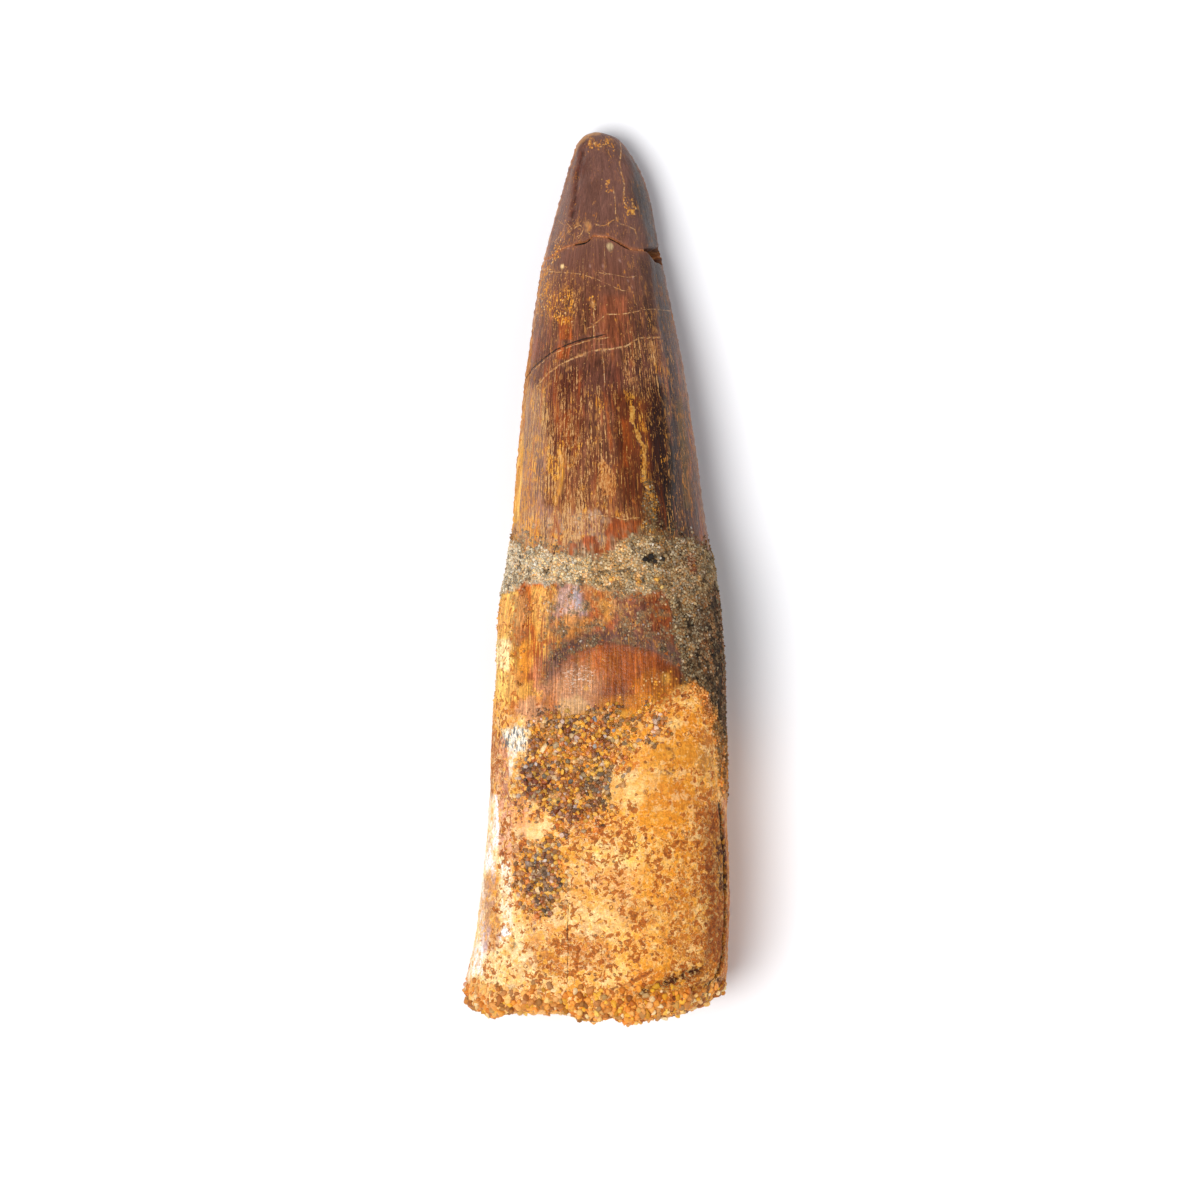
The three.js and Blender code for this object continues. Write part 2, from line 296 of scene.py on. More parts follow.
def row_positions():
    """Rows at even steps over the surface, closer together at the fracture."""
    y = 45.0 - np.linspace(0, math.sqrt(45.0 - END_Y), 6000) ** 2
    y[0] = 44.9945
    r = (station(2, y) - station(1, y)) / 2
    step = np.hypot(np.diff(y), np.diff(r))
    mid = (y[1:] + y[:-1]) / 2
    weight = 1 + 2.6 * bell(mid - FRACTURE_Y, 0.5) + 0.25 * smooth(20, 34, mid)
    cum = np.concatenate([[0], np.cumsum(step * weight)])
    return np.interp(np.linspace(0.004, 1, N_ROWS) * cum[-1], cum, y)


ROWS_Y = row_positions()
BASE, S_COL, T_COL = resample(ROWS_Y)  # (rows, columns + 1 for the closing one)
N_COLS = N_TOP + N_LOW
GIRTH = S_COL[:, 0] - S_COL[:, -1]

# where a pixel of the upper side is on the surface
_half = N_LOW // 2
_TOP = slice(_half, _half + N_TOP + 1)
_ROW_Y = BASE[:, _half + N_TOP // 2, 1]


def on_surface(points):
    """Pixels -> (s, y) in mm. Past the outline, s runs on round the side."""
    out = []
    for xp, yp in points:
        x, y = (xp - PX_X0) * PX, (PX_Y0 - yp) * PX
        r = int(np.argmin(np.abs(_ROW_Y - y)))
        X, S = BASE[r, _TOP, 0][::-1], S_COL[r, _TOP][::-1]
        s = float(np.interp(x, X, S))
        if x < X[0]:
            s -= X[0] - x
        if x > X[-1]:
            s += x - X[-1]
        out.append((s, y))
    return np.array(out)


# --------------------------------------------------------------------------
# Surface fields
# --------------------------------------------------------------------------

P0 = BASE[:, :N_COLS].reshape(-1, 3)
SV = S_COL[:, :N_COLS].reshape(-1)
TV = T_COL[:, :N_COLS].reshape(-1)
YV = P0[:, 1]
N_WALL = len(P0)
GIRTH_V = np.repeat(GIRTH, N_COLS)
PHI = SV / GIRTH_V * 2 * np.pi
R_STRIA = (8.0 * GIRTH_V / (2 * np.pi)) ** 0.5
STRIA = np.stack([R_STRIA * np.sin(PHI), R_STRIA * np.cos(PHI), YV], -1)
UNDER = smooth(0.0, -0.35, np.sin(TV))  # 1 on the underside
S_EDGE = np.abs(np.repeat((S_COL[:, _half] - S_COL[:, _half + N_TOP]) / 2, N_COLS))

WOB1 = fbm(P0, 2.2, 4, 0.55, 21)
WOB2 = fbm(P0, 2.2, 4, 0.55, 22)
WOBF = fbm(P0, 0.8, 2, 0.5, 23)


def line_distance(points, s=None, y=None, closed=False):
    """Distance to a polyline, signed distance (side of the nearest segment)
    and how far along the line the nearest point is, all in mm."""
    s = SV if s is None else s
    y = YV if y is None else y
    p = on_surface(points)
    if closed:
        p = np.vstack([p, p[:1]])
    best = np.full(len(s), 1e9)
    sign = np.ones(len(s))
    along = np.zeros(len(s))
    run = 0.0
    for a, b in zip(p[:-1], p[1:]):
        d = b - a
        n2 = float(d @ d) or 1e-9
        length = math.sqrt(n2)
        t = np.clip(((s - a[0]) * d[0] + (y - a[1]) * d[1]) / n2, 0, 1)
        ex, ey = s - (a[0] + t * d[0]), y - (a[1] + t * d[1])
        dist = np.hypot(ex, ey)
        near = dist < best
        best = np.where(near, dist, best)
        side = np.sign(d[0] * (y - a[1]) - d[1] * (s - a[0]))
        sign = np.where(near, np.where(side == 0, 1, side), sign)
        along = np.where(near, run + t * length, along)
        run += length
    return best, best * sign, along, run


def inside(points, jag=0.3, soft=0.25, drift=1.0):
    """1 inside a closed outline, 0 outside, with an uneven edge that drifts
    further on the sides."""
    s, y = SV + jag * WOB1 + 0.3 * jag * WOBF + drift * DRIFT_S, YV + jag * WOB2 + drift * DRIFT_Y
    p = on_surface(points)
    near = (s > p[:, 0].min() - 3) & (s < p[:, 0].max() + 3) & (y > p[:, 1].min() - 3) & (y < p[:, 1].max() + 3)
    out = np.zeros(len(s))
    if not near.any():
        return out
    sn, yn = s[near], y[near]
    dist, *_ = line_distance(points, sn, yn, closed=True)
    odd = np.zeros(len(sn), bool)
    q = np.vstack([p, p[:1]])
    for a, b in zip(q[:-1], q[1:]):
        cross = (a[1] > yn) != (b[1] > yn)
        with np.errstate(divide="ignore", invalid="ignore"):
            xs = a[0] + (yn - a[1]) / (b[1] - a[1]) * (b[0] - a[0])
        odd ^= cross & (sn < xs)
    out[near] = smooth(-soft, soft, np.where(odd, dist, -dist))
    return out


def spot(x, y, rx, ry=None, jag=0.15, soft=0.25):
    """1 inside an uneven round spot, radii in pixels."""
    ry = rx if ry is None else ry
    c = on_surface([(x, y)])[0]
    ds = (SV + jag * WOB1 - c[0]) / (rx * PX)
    dy = (YV + jag * WOB2 - c[1]) / (ry * PX)
    d = (1 - np.hypot(ds, dy)) * min(rx, ry) * PX
    return smooth(-soft, soft, d)


def between(y_top, y_bottom, soft=0.3, jag=0.4):
    """1 between two levels given in pixels down the frame."""
    y = YV + jag * WOB1
    a, b = (PX_Y0 - y_top) * PX, (PX_Y0 - y_bottom) * PX
    return smooth(a + soft, a - soft, y) * smooth(b - soft, b + soft, y)


def level(points):
    """Level (mm) of a line across the tooth, from pixels, carried on round
    the underside."""
    p = on_surface(points)
    order = np.argsort(p[:, 0])
    return np.interp(SV, p[order, 0], p[order, 1])


def level_round(points, right_px, under_px, left_px):
    """The same, with its level set on the right side, underneath and on the left side."""
    p = on_surface(points)
    order = np.argsort(p[:, 0])
    p = p[order]
    y = lambda v: (PX_Y0 - v) * PX
    g = GIRTH.max() / 2
    xs = np.concatenate([[-g, -g * 0.75], p[:, 0], [g * 0.75, g]])
    ys = np.concatenate([[y(under_px), y(left_px)], p[:, 1], [y(right_px), y(under_px)]])
    return np.interp(SV, xs, ys)


# ---- where things are ----------------------------------------------------

FAR = smooth(0.10, -0.20, np.sin(TV))
DRIFT_S = FAR * 3.6 * fbm(P0, 4.2, 3, 0.55, 131)
DRIFT_Y = FAR * 5.6 * fbm(P0, 4.6, 3, 0.55, 132)

BAND_TOP = level_round([(505, 549), (511, 548), (540, 553), (566, 558), (583, 563), (600, 560), (616, 555), (624, 543),
                        (646, 540), (662, 540), (690, 546), (707, 552), (716, 556)], 566, 552, 560)
BAND_LOW = level_round([(497, 598), (502, 596), (516, 590), (530, 586), (555, 585), (586, 588), (606, 593), (621, 596),
                        (646, 595), (662, 592), (669, 600), (675, 640), (684, 678), (697, 704), (706, 722),
                        (716, 742), (724, 770)], 640, 598, 606)
Y_PX = lambda v: (PX_Y0 - v) * PX
jag_y = YV + 0.35 * DRIFT_Y + 0.34 * WOB1 + 0.22 * WOBF + 0.12 * gnoise(P0 / 0.4, 5)
RAG = fbm(P0, (1.3, 0.9, 1.3), 4, 0.62, 97)
BAND = smooth(0.30, -0.20, jag_y + 1.1 * RAG - BAND_TOP) * smooth(-0.25, 0.25, jag_y - 0.8 * RAG - BAND_LOW)
CROWN = smooth(-0.2, 0.3, jag_y + 1.1 * RAG - BAND_TOP)  # enamel above the band
ROOT_LINE = level_round([(497, 700), (520, 716), (545, 722), (570, 720), (600, 714), (640, 716), (662, 704),
                         (676, 690), (692, 684), (706, 700), (722, 740)], 720, 700, 705)
SIDE = smooth(0.34, -0.05, np.sin(TV))  # 1 past the outline, on the sides and under
ROOT = smooth(0.35, -0.35, YV + 0.55 * DRIFT_Y + 0.5 * WOB1 + 0.3 * WOBF + (0.3 + 1.5 * SIDE) * RAG - ROOT_LINE)
NECK = np.clip(1 - CROWN - BAND - ROOT, 0, 1)

ARC = [(534, 702), (541, 689), (551, 671), (563, 654), (583, 645), (606, 641), (629, 641), (646, 647), (662, 654), (681, 664), (694, 674)]
DOME_AREA = [(541, 702), (548, 690), (556, 675), (568, 660), (585, 651), (606, 647), (629, 647), (646, 652),
             (664, 661), (684, 674), (690, 690), (676, 700), (660, 712), (640, 722), (600, 720), (570, 726), (548, 728), (536, 722)]

CLUSTER_UP = [(560, 718), (580, 716), (598, 720), (612, 716), (622, 735), (610, 748), (608, 790), (598, 812),
              (578, 822), (560, 818), (545, 808), (528, 800), (522, 780), (530, 762), (532, 744), (545, 728)]
CLUSTER_LOW = [(541, 846), (549, 841), (558, 843), (561, 856), (556, 867), (562, 880), (558, 898), (549, 904), (552, 914), (540, 916), (534, 900), (524, 890), (523, 872), (531, 864), (528, 854), (538, 856)]
CRUST_RIGHT = [(671, 596), (712, 590), (736, 596), (758, 640), (762, 700), (752, 750), (738, 788), (726, 802), (719, 795), (716, 775), (713, 745),
               (709, 722), (704, 704), (693, 694), (684, 672), (676, 645)]

# tan hairlines: pixel width, points
HAIRLINES = [
    (1.5, [(619.5, 142), (621, 154), (619.5, 165), (621.5, 175), (624, 185), (624, 197)]),
    (1.0, [(613, 190), (615, 202), (616, 220), (616, 223)]),
    (1.2, [(616, 222), (619.5, 227), (626, 229), (633, 233), (636, 241)]),
    (0.8, [(616, 222), (612, 224), (608, 227), (604, 229), (597, 228)]),
    (0.9, [(548, 274), (569, 276), (583, 278), (592, 281), (608, 288), (622, 294), (632, 296)]),
    (0.7, [(598, 276), (612, 278), (628, 281), (634, 280)]),
    (1.0, [(590, 331), (594, 328), (602, 322), (606, 318), (621, 318), (633, 316), (644, 313), (670, 313)]),
    (1.0, [(592, 301), (593, 308), (594, 319), (594, 338), (594, 342)]),
    (0.8, [(602, 355), (604, 370), (605, 389)]),
    (1.3, [(575, 524), (584, 521), (599, 519), (612, 520), (624, 523), (636, 521)]),
    (1.1, [(524, 384), (530, 377), (541, 367), (556, 356), (571, 350), (583, 346), (594, 343.5), (606, 342)]),
    (0.7, [(574, 232), (580, 228), (584, 232), (581, 238), (574, 241)]),
    (0.7, [(563, 238), (570, 235), (577, 229)]),
    (0.4, [(604, 246), (605, 262), (604, 280)]),
    (0.4, [(583, 262), (584, 290), (583, 306)]),
    (0.7, [(558, 222), (565, 228), (561, 236), (553, 244)]),
    (0.7, [(544, 246), (551, 243), (557, 246)]),
    (0.7, [(567, 226), (572, 231), (566, 236)]),
]
LINE_LUMPS = [(580, 360, 2.2, 1.6), (585, 359, 1.4, 1.6), (541, 384, 1.6, 1.8), (537, 390, 1.2, 1.2), (563, 368, 1.4, 1.0), (606, 354, 1.6, 1.3), (602, 356, 1.0, 1.8), (620, 351, 1.3, 1.0)]
THICK_LINE = (2.4, [(537, 390), (541, 385), (551, 375), (562, 368), (576, 361), (587, 357), (601, 353), (612, 353), (626, 350), (638, 342), (659, 341)])
PALE_RIMS = [
    (1.0, [(696, 732), (694, 744), (697, 750), (703, 753), (709, 758), (712, 765), (710, 773), (706, 778)]),
    (0.9, [(706, 731), (710, 738), (710.5, 748), (709, 755)]),
]
DARK_CRACKS = [
    (1.5, [(524, 382), (527, 378), (541, 364), (556, 353), (571, 347), (583, 343), (594, 341), (602, 339)]),
]
FRACTURE_PX = [(545, 262), (552, 259), (558, 254), (566, 250), (577, 247), (585, 246), (591, 242), (593, 239), (600, 240),
               (608, 241), (615, 244), (623, 249), (631, 253), (640, 253), (646, 254), (660, 257)]
CHIP = [(645, 252), (652, 251), (663, 250), (664, 266), (656, 264), (650, 258)]
RIGHT_SPLIT = [(717.5, 806), (719, 812), (719.5, 825), (720.5, 840), (723, 859), (723, 887), (724, 919), (722.5, 935), (722, 958), (720, 968), (716, 980)]
HAIR_ROOT = [(569, 905), (568, 930), (569, 950), (568, 982)]
BASE_GROOVE = [(640, 992), (653, 987), (662, 983), (676, 979), (689, 972), (700, 970)]
BASE_NOTCH = [(694, 989), (704, 986), (716, 983), (724, 981), (734, 983)]
STREAK = [(631, 406), (632, 424), (637, 439), (643, 450), (644, 462), (644, 471), (643, 480), (648, 491), (653, 509)]
STREAK_SIDE = [(629, 412), (632, 432), (638, 448), (640, 462), (640, 476), (642, 486), (646, 498)]
LEFT_FLUTE = [(586, 140), (581, 161), (577, 177), (576, 191), (574, 207), (571, 224)]
RIGHT_ARRIS = [(624, 143), (628, 155), (630, 191), (640, 222), (647, 243), (652, 300), (657, 350), (661, 395), (669, 453), (672, 512), (676, 550)]

# --------------------------------------------------------------------------
# Relief, in mm along the surface normal
# --------------------------------------------------------------------------

H = np.zeros(N_WALL)
enamel = CROWN
H += 0.05 * enamel * fbm(P0, 3.2, 2, 0.5, 31)
H += 0.030 * enamel * fbm(STRIA, (1.0, 1.0, 11.0), 2, 0.5, 32)
H += 0.018 * enamel * fbm(STRIA, (0.42, 0.42, 5.0), 2, 0.5, 33)

d_ra, sd_ra, al_ra, len_ra = line_distance(RIGHT_ARRIS)
near_arris = smooth(-0.3, 1.5, al_ra) * smooth(len_ra, len_ra - 6, al_ra)
H += 0.17 * bell(d_ra, 0.75) * near_arris
d_lf, sd_lf, al_lf, _ = line_distance(LEFT_FLUTE)
H -= 0.11 * bell(d_lf, 0.38) * smooth(-0.1, 1.0, al_lf)
H += 0.06 * bell(d_lf - 0.7, 0.45)
# long shallow flutes of the lower side of the crown
for k, ang in enumerate((-2.7, -2.1, -1.55, -0.9, -0.35)):
    turn = np.arctan2(np.sin(TV - ang), np.cos(TV - ang))
    H += (0.10 if k % 2 else -0.07) * bell(turn, 0.16) * enamel * smooth(44, 36, YV)

# fracture: lips and gap. Rows follow it, so it stays sharp.
D_FRAC = YV - fracture_at(TV)
gap_noise = fbm(P0, 1.4, 2, 0.5, 41)
open_here = np.clip(
    smooth(0, 1, spot(619, 247, 14, 9, 0, 0.4)) + smooth(0, 1, spot(583, 247, 9, 6, 0, 0.4)) + UNDER * smooth(-0.2, 0.3, gap_noise), 0, 1)
GAP = np.clip(open_here + 0.25 * smooth(0.0, 0.5, gap_noise), 0, 1)
wf = 0.085 + 0.05 * GAP
H -= (0.10 + 0.30 * GAP) * bell(D_FRAC, wf)
H += 0.045 * bell(np.abs(D_FRAC) - 0.24, 0.12)
H += 0.075 * smooth(0.0, -0.12, D_FRAC) * smooth(-3.2, -0.4, D_FRAC) * (0.5 + 0.5 * np.sin(TV * 1.3 + 0.6))
chip = inside(CHIP, 0.08, 0.12, 0.0)
CHIPPED = chip

for w, pts in HAIRLINES:
    d, *_ = line_distance(pts)
    H -= 0.02 * bell(d, 0.12)
d_thick, sd_thick, al_thick, _ = line_distance(THICK_LINE[1])
H += 0.045 * bell(d_thick, 0.2) * (0.7 + 0.6 * WOBF)
H += 0.05 * smooth(-0.1, 0.1, sd_thick) * bell(d_thick, 1.2)
d_dark, sd_dark, *_ = line_distance(DARK_CRACKS[0][1])
H -= 0.12 * bell(d_dark, 0.12)

d_st, sd_st, al_st, len_st = line_distance(STREAK)
streak_on = smooth(-0.1, 0.8, al_st) * smooth(len_st + 0.1, len_st - 0.6, al_st)
STREAK_M = bell(d_st, np.clip(0.25 + 0.15 * WOBF + 0.15 * gnoise(P0 / 0.8, 45), 0.10, 0.50)) * streak_on
H += 0.15 * STREAK_M * (1 + 0.7 * gnoise(P0 / 0.35, 44))
d_ss, *_ = line_distance(STREAK_SIDE)
H -= 0.06 * bell(d_ss, 0.16)
flake = inside([(600, 466), (604, 463), (612, 474), (618, 486), (613, 500), (602, 499), (598, 480)], 0.2, 0.12)
H -= 0.06 * flake
d_gold, *_ = line_distance([(559, 455), (562, 462), (562.5, 478), (561, 488), (559, 497)])
GOLD_LINE = bell(d_gold, 0.18 + 0.06 * WOBF)
H += 0.03 * GOLD_LINE

# enamel broken away along the left side edge
left_bare = inside([(533, 330), (530, 378), (526, 400), (524, 440), (522, 480), (519, 525), (505, 530), (500, 440), (515, 380), (524, 330)], 0.22, 0.12)
H -= 0.10 * left_bare * (1 + 0.5 * fbm(P0, 0.5, 2, 0.5, 45))

# sand crust
rough_sand = fbm(P0, 0.9, 3, 0.6, 46)
grit = fbm(P0, 0.36, 2, 0.6, 47)
crust_right = inside(CRUST_RIGHT, 0.7 + 0.6 * SIDE, 0.35)
CRUST = np.clip(BAND + crust_right * (1 - BAND), 0, 1)
H += CRUST * (0.16 + 0.13 * rough_sand + 0.07 * grit)
neck_patch = smooth(0.05, 0.45, fbm(P0, 1.5, 3, 0.55, 48)) * NECK
H += neck_patch * 0.07 * (1 + grit)

dome = inside(DOME_AREA, 0.15, 0.3)
d_arc, sd_arc, al_arc, _ = line_distance(ARC)
H -= 0.16 * dome
H += 0.15 * bell(d_arc, 0.5) * (1 + 1.2 * grit) * (1 - ROOT) * (1 - 0.7 * dome)
H -= 0.05 * NECK

# root: flaking cement with a pitted surface
coarse = fbm(P0, (2.6, 3.2, 2.6), 3, 0.5, 51)
flakes = fbm(P0, (1.25, 1.5, 1.25), 3, 0.55, 52)
fine = fbm(P0, 0.5, 2, 0.6, 53)
H += ROOT * (0.10 + 0.13 * coarse + 0.075 * smooth(-0.03, 0.05, flakes) + 0.045 * fine)
H += ROOT * 0.05 * smooth(-0.03, 0.04, fbm(P0, (2.2, 2.9, 2.2), 2, 0.5, 54))

cluster_up = inside(CLUSTER_UP, 0.35, 0.35) * ROOT
cluster_low = inside(CLUSTER_LOW, 0.3, 0.3)
CLUSTERS = np.clip(cluster_up + cluster_low, 0, 1)
H += CLUSTERS * (0.08 + 0.22 * fbm(P0, 1.3, 2, 0.5, 55))

plaque_a = inside([(695, 733), (703, 731), (710, 736), (711, 748), (703, 752), (696, 748)], 0.1, 0.1)
plaque_b = spot(703, 764, 10, 10, 0.08, 0.1)
PLAQUES = np.clip(plaque_a + plaque_b, 0, 1)
PLATES = np.clip(0.6 * PLAQUES + inside([(653, 742), (672, 739), (694, 742), (698, 757), (684, 771), (664, 766), (650, 756)], 0.9, 0.6)
                 + 0.8 * inside([(645, 782), (668, 776), (692, 779), (697, 798), (688, 820), (668, 832), (650, 820), (641, 800)], 1.3, 0.9)
                 + 0.7 * inside([(668, 716), (688, 712), (702, 722), (694, 734), (674, 737)], 0.9, 0.6)
                 + 0.9 * inside([(606, 786), (622, 777), (636, 780), (640, 796), (624, 806), (610, 800)], 0.9, 0.5)
                 + inside([(518, 829), (526, 819), (538, 822), (549, 815), (556, 821), (550, 832), (546, 839), (533, 841), (522, 838)], 0.5, 0.3), 0, 1) * ROOT
H += 0.09 * PLAQUES
ring_spot, *_ = line_distance([(716 + 3.5 * math.cos(a), 780 + 3.5 * math.sin(a)) for a in np.linspace(0, 2 * math.pi, 13)])
H += 0.06 * bell(ring_spot, 0.1)
plateau = np.clip(inside([(655, 742), (694, 741), (697, 757), (690, 768), (660, 767), (650, 756)], 0.25, 0.12)
                  + inside([(643, 781), (690, 779), (696, 800), (690, 817), (650, 816), (641, 800)], 0.3, 0.15), 0, 1)
H += 0.05 * plateau

# longitudinal breaks of the left flank
strip_rust = inside([(491, 732), (503, 733), (508, 748), (511, 795), (513, 850), (513, 885), (503, 900), (499, 880),
                     (500, 840), (499, 800), (494, 770)], 0.22, 0.15)
H -= 0.11 * strip_rust
strip_cream = inside([(489, 795), (499, 797), (500, 840), (497, 885), (492, 930), (484, 975), (470, 985), (466, 940), (478, 880), (484, 820)], 0.18, 0.15)
H += 0.05 * strip_cream

d_split, sd_split, al_split, len_split = line_distance(RIGHT_SPLIT)
split_on = smooth(-0.05, 1.2, al_split) * smooth(len_split + 0.05, len_split - 0.5, al_split)
H += 0.10 * bell(d_split - 0.75, 0.35) * split_on
d_hair, sd_hair, *_ = line_distance(HAIR_ROOT)
H -= 0.035 * bell(d_hair, 0.12)
d_groove, *_ = line_distance(BASE_GROOVE)
H -= 0.50 * bell(d_groove, 0.30 + 0.08 * WOBF)
d_notch, *_ = line_distance(BASE_NOTCH)
H -= 0.95 * bell(d_notch, 0.40)

def crumbs(weight, count, r_lo, r_hi, seed):
    """Height of closely set lumps, about 0 to 1, over the wall's vertices."""
    rng = np.random.RandomState(seed)
    w = np.clip(weight, 0, None)
    near = np.where(w > 0.02)[0]
    pick = rng.choice(near, size=count, p=w[near] / w[near].sum())
    c = P0[pick] + rng.normal(size=(count, 3)) * 0.1
    r = r_lo + (r_hi - r_lo) * rng.random_sample(count) ** 1.7
    up = 0.5 + 0.5 * rng.random_sample(count)
    out = np.zeros(N_WALL)
    P = P0[near]
    for k in range(count):
        d = P - c[k]
        d2 = np.einsum("ij,ij->i", d, d) / (r[k] * r[k])
        m = d2 < 1
        idx_ = near[m]
        out[idx_] = np.maximum(out[idx_], up[k] * np.sqrt(1 - d2[m]) * r[k] / r_hi)
    return out


# ragged end and the sandy lump at its lower left corner
END = smooth(Y_PX(980), Y_PX(1004), YV + 0.6 * WOB1)
END_GRIT = END
H += END * (0.16 * rough_sand + 0.14 * fbm(P0, 0.8, 2, 0.5, 56))
CRUMB_END = crumbs(END * smooth(0.0, 0.4, END), 1500, 0.35, 0.85, 57)
H += END * (0.42 * CRUMB_END - 0.12)
CRUMB_UP = crumbs(CLUSTERS, 1000, 0.3, 0.6, 58)
H += CLUSTERS * (0.30 * CRUMB_UP - 0.08)
lump = spot(466, 974, 9, 18, 0.2, 0.3)
H += 0.32 * lump

CORNER = spot(727, 1000, 17, 15, 0.25, 0.35)
H -= 0.35 * CORNER
# sides keep most of their outline
H *= mix(0.45, 1.0, np.abs(np.sin(TV)))
H -= 0.75 * CORNER
H -= (0.70 + 0.35 * smooth(Y_PX(268), Y_PX(256), YV)) * chip * (1 + 0.3 * fbm(P0, 0.5, 2, 0.5, 42))
# the open split of the right side
H -= 0.62 * bell(d_split, 0.30) * split_on * (0.75 + 0.5 * smooth(Y_PX(870), Y_PX(890), YV))
# small breaks along the cutting edges
side_edge = bell(np.minimum(np.abs(np.arctan2(np.sin(TV), np.cos(TV))), np.abs(np.arctan2(np.sin(TV - np.pi), np.cos(TV - np.pi)))), 0.12)
H -= side_edge * enamel * 0.17 * (0.35 + fbm(np.stack([SV * 0.2, YV, SV * 0], -1), 0.42, 3, 0.7, 61))
H += side_edge * (1 - enamel) * 0.14 * fbm(P0, 0.55, 3, 0.7, 62)
H *= smooth(44.99, 44.5, YV)

# --------------------------------------------------------------------------
# Stains, painted sheen and painted shade: one named palette, laid on in outlines and spots
# --------------------------------------------------------------------------


def lin(r, g, b):
    v = np.array([r, g, b]) / 255.0
    return np.where(v <= 0.04045, v / 12.92, ((v + 0.055) / 1.055) ** 2.4)


TINT = dict(
    enamel_tip=lin(111, 75, 64),
    enamel=lin(112, 66, 46),
    enamel_low=lin(128, 72, 40),
    # pale enamel film, and a painted sheen where the enamel faces the light
    enamel_pale_and_sheen=lin(150, 112, 98),
    # grey of a painted reflection on the enamel
    enamel_sheen_grey=lin(98, 84, 80),
    rust=lin(104, 44, 18),
    rust_glow=lin(158, 74, 22),
    rust_soft=lin(160, 76, 32),
    dark=lin(64, 34, 22),
    olive=lin(128, 98, 54),
    tan=lin(190, 136, 84),
    tan_light=lin(222, 176, 122),
    yellow=lin(240, 176, 78),
    cream=lin(248, 208, 144),
    white=lin(240, 232, 220),
    root=lin(240, 172, 80),
    gold=lin(226, 144, 40),
    orange=lin(204, 106, 30),
    orange_brown=lin(186, 108, 50),
    dome=lin(156, 82, 38),
    brown=lin(160, 82, 32),
    ochre=lin(186, 124, 64),
    honey=lin(240, 166, 60),
    smoke=lin(116, 82, 68),
    brown_dark=lin(104, 54, 30),
    purple=lin(108, 66, 54),
    mauve=lin(168, 128, 114),
    pink=lin(220, 150, 116),
    sand=lin(174, 148, 108),
    sand_light=lin(216, 196, 158),
    sand_pale=lin(208, 192, 166),
    sand_green=lin(150, 142, 114),
    sand_mid=lin(146, 120, 88),
    sand_grey=lin(136, 120, 94),
    sand_dark=lin(84, 68, 48),
    grey_dark=lin(78, 66, 60),
    black=lin(40, 34, 30),
    blush=lin(216, 158, 116),
    oxblood=lin(72, 30, 14),
)

COL = np.tile(TINT["enamel"], (N_WALL, 1))


def paint(name, mask, k=1.0):
    global COL
    m = np.clip(mask * k, 0, 1)[:, None]
    COL = COL + (TINT[name] - COL) * m


MOTTLE = fbm(P0, (0.9, 1.0, 0.9), 4, 0.62, 76)
MOTTLE2 = fbm(P0, (0.5, 0.55, 0.5), 3, 0.6, 77)
PLATES = PLATES * smooth(-0.50, 0.05, MOTTLE + 0.5 * MOTTLE2)


def ragged(m, torn):
    """A stain's edge broken up, and its inside thinned, by noise."""
    return smooth(0.5 - 0.28, 0.5 + 0.10, m * (1 + 0.25 * torn) + torn * (0.45 * MOTTLE + 0.25 * MOTTLE2) - 0.10 * torn)


def area(name, pts, k=1.0, jag=0.35, soft=0.35, torn=0.0):
    """An outline filled with a stain. torn breaks its edge and thins it inside."""
    m = inside(pts, jag + 0.5 * torn, soft + 0.8 * torn)
    if torn:
        m = ragged(m, torn)
    off_side = (m > 0.02) & (SIDE > 0.02)
    if off_side.any():
        m = mix(m, ragged(inside(pts, jag + 1.3, soft + 1.5), 1.3), SIDE)
    paint(name, m, k)


def dot(name, x, y, rx, ry=None, k=1.0, jag=0.12, soft=0.12):
    paint(name, spot(x, y, rx, ry, jag, soft), k)


# crown
paint("enamel_tip", smooth(Y_PX(330), Y_PX(200), YV))
paint("enamel_low", smooth(Y_PX(440), Y_PX(540), YV))
patchy = fbm(P0, (2.5, 5.0, 2.5), 3, 0.5, 71)
paint("rust", smooth(0.05, 0.5, patchy) * smooth(Y_PX(250), Y_PX(330), YV), 0.45)
# painted sheen: the paler left facet of the point
area("enamel_pale_and_sheen", [(571, 150), (577, 152), (575, 191), (570, 222), (562, 244), (540, 246), (548, 208), (560, 172)], 0.6)
# painted reflection: the grey sheen of the right facet of the point and of the right flank of the crown
area("enamel_sheen_grey", [(624, 140), (630, 155), (632, 191), (642, 222), (650, 247), (668, 250), (660, 200), (645, 160), (632, 138)], 0.80, 0.35, 0.8)
area("enamel_sheen_grey", [(650, 262), (658, 330), (664, 395), (672, 460), (676, 540), (700, 540), (694, 430), (682, 340), (668, 262)], 0.55, 0.4, 0.5)
area("enamel_sheen_grey", [(657, 380), (666, 382), (674, 440), (677, 512), (678, 546), (668, 546), (663, 500), (660, 440)], 0.9, 0.2, 0.3)
area("olive", [(676, 405), (682, 400), (689, 450), (692, 512), (684, 512), (680, 455)], 0.9, 0.2, 0.25)
area("brown_dark", [(683, 350), (692, 400), (700, 470), (706, 540), (716, 540), (712, 450), (700, 370), (690, 330)], 0.55)
area("rust", [(550, 382), (582, 372), (586, 420), (580, 474), (560, 474), (546, 430)], 0.55)
area("rust", [(614, 398), (636, 396), (644, 440), (650, 505), (622, 512), (616, 450)], 0.65)
area("oxblood", [(644, 392), (660, 392), (665, 450), (668, 535), (654, 540), (648, 470)], 0.92, 0.5, 0.4, 0.5)
area("rust", [(650, 400), (664, 404), (668, 470), (668, 530), (656, 530), (652, 460)], 0.22, 0.5, 0.4, 1.1)
area("dark", [(628, 300), (648, 300), (652, 390), (636, 396), (626, 350)], 0.35)
area("rust_soft", [(604, 300), (628, 298), (624, 350), (606, 350)], 0.25)
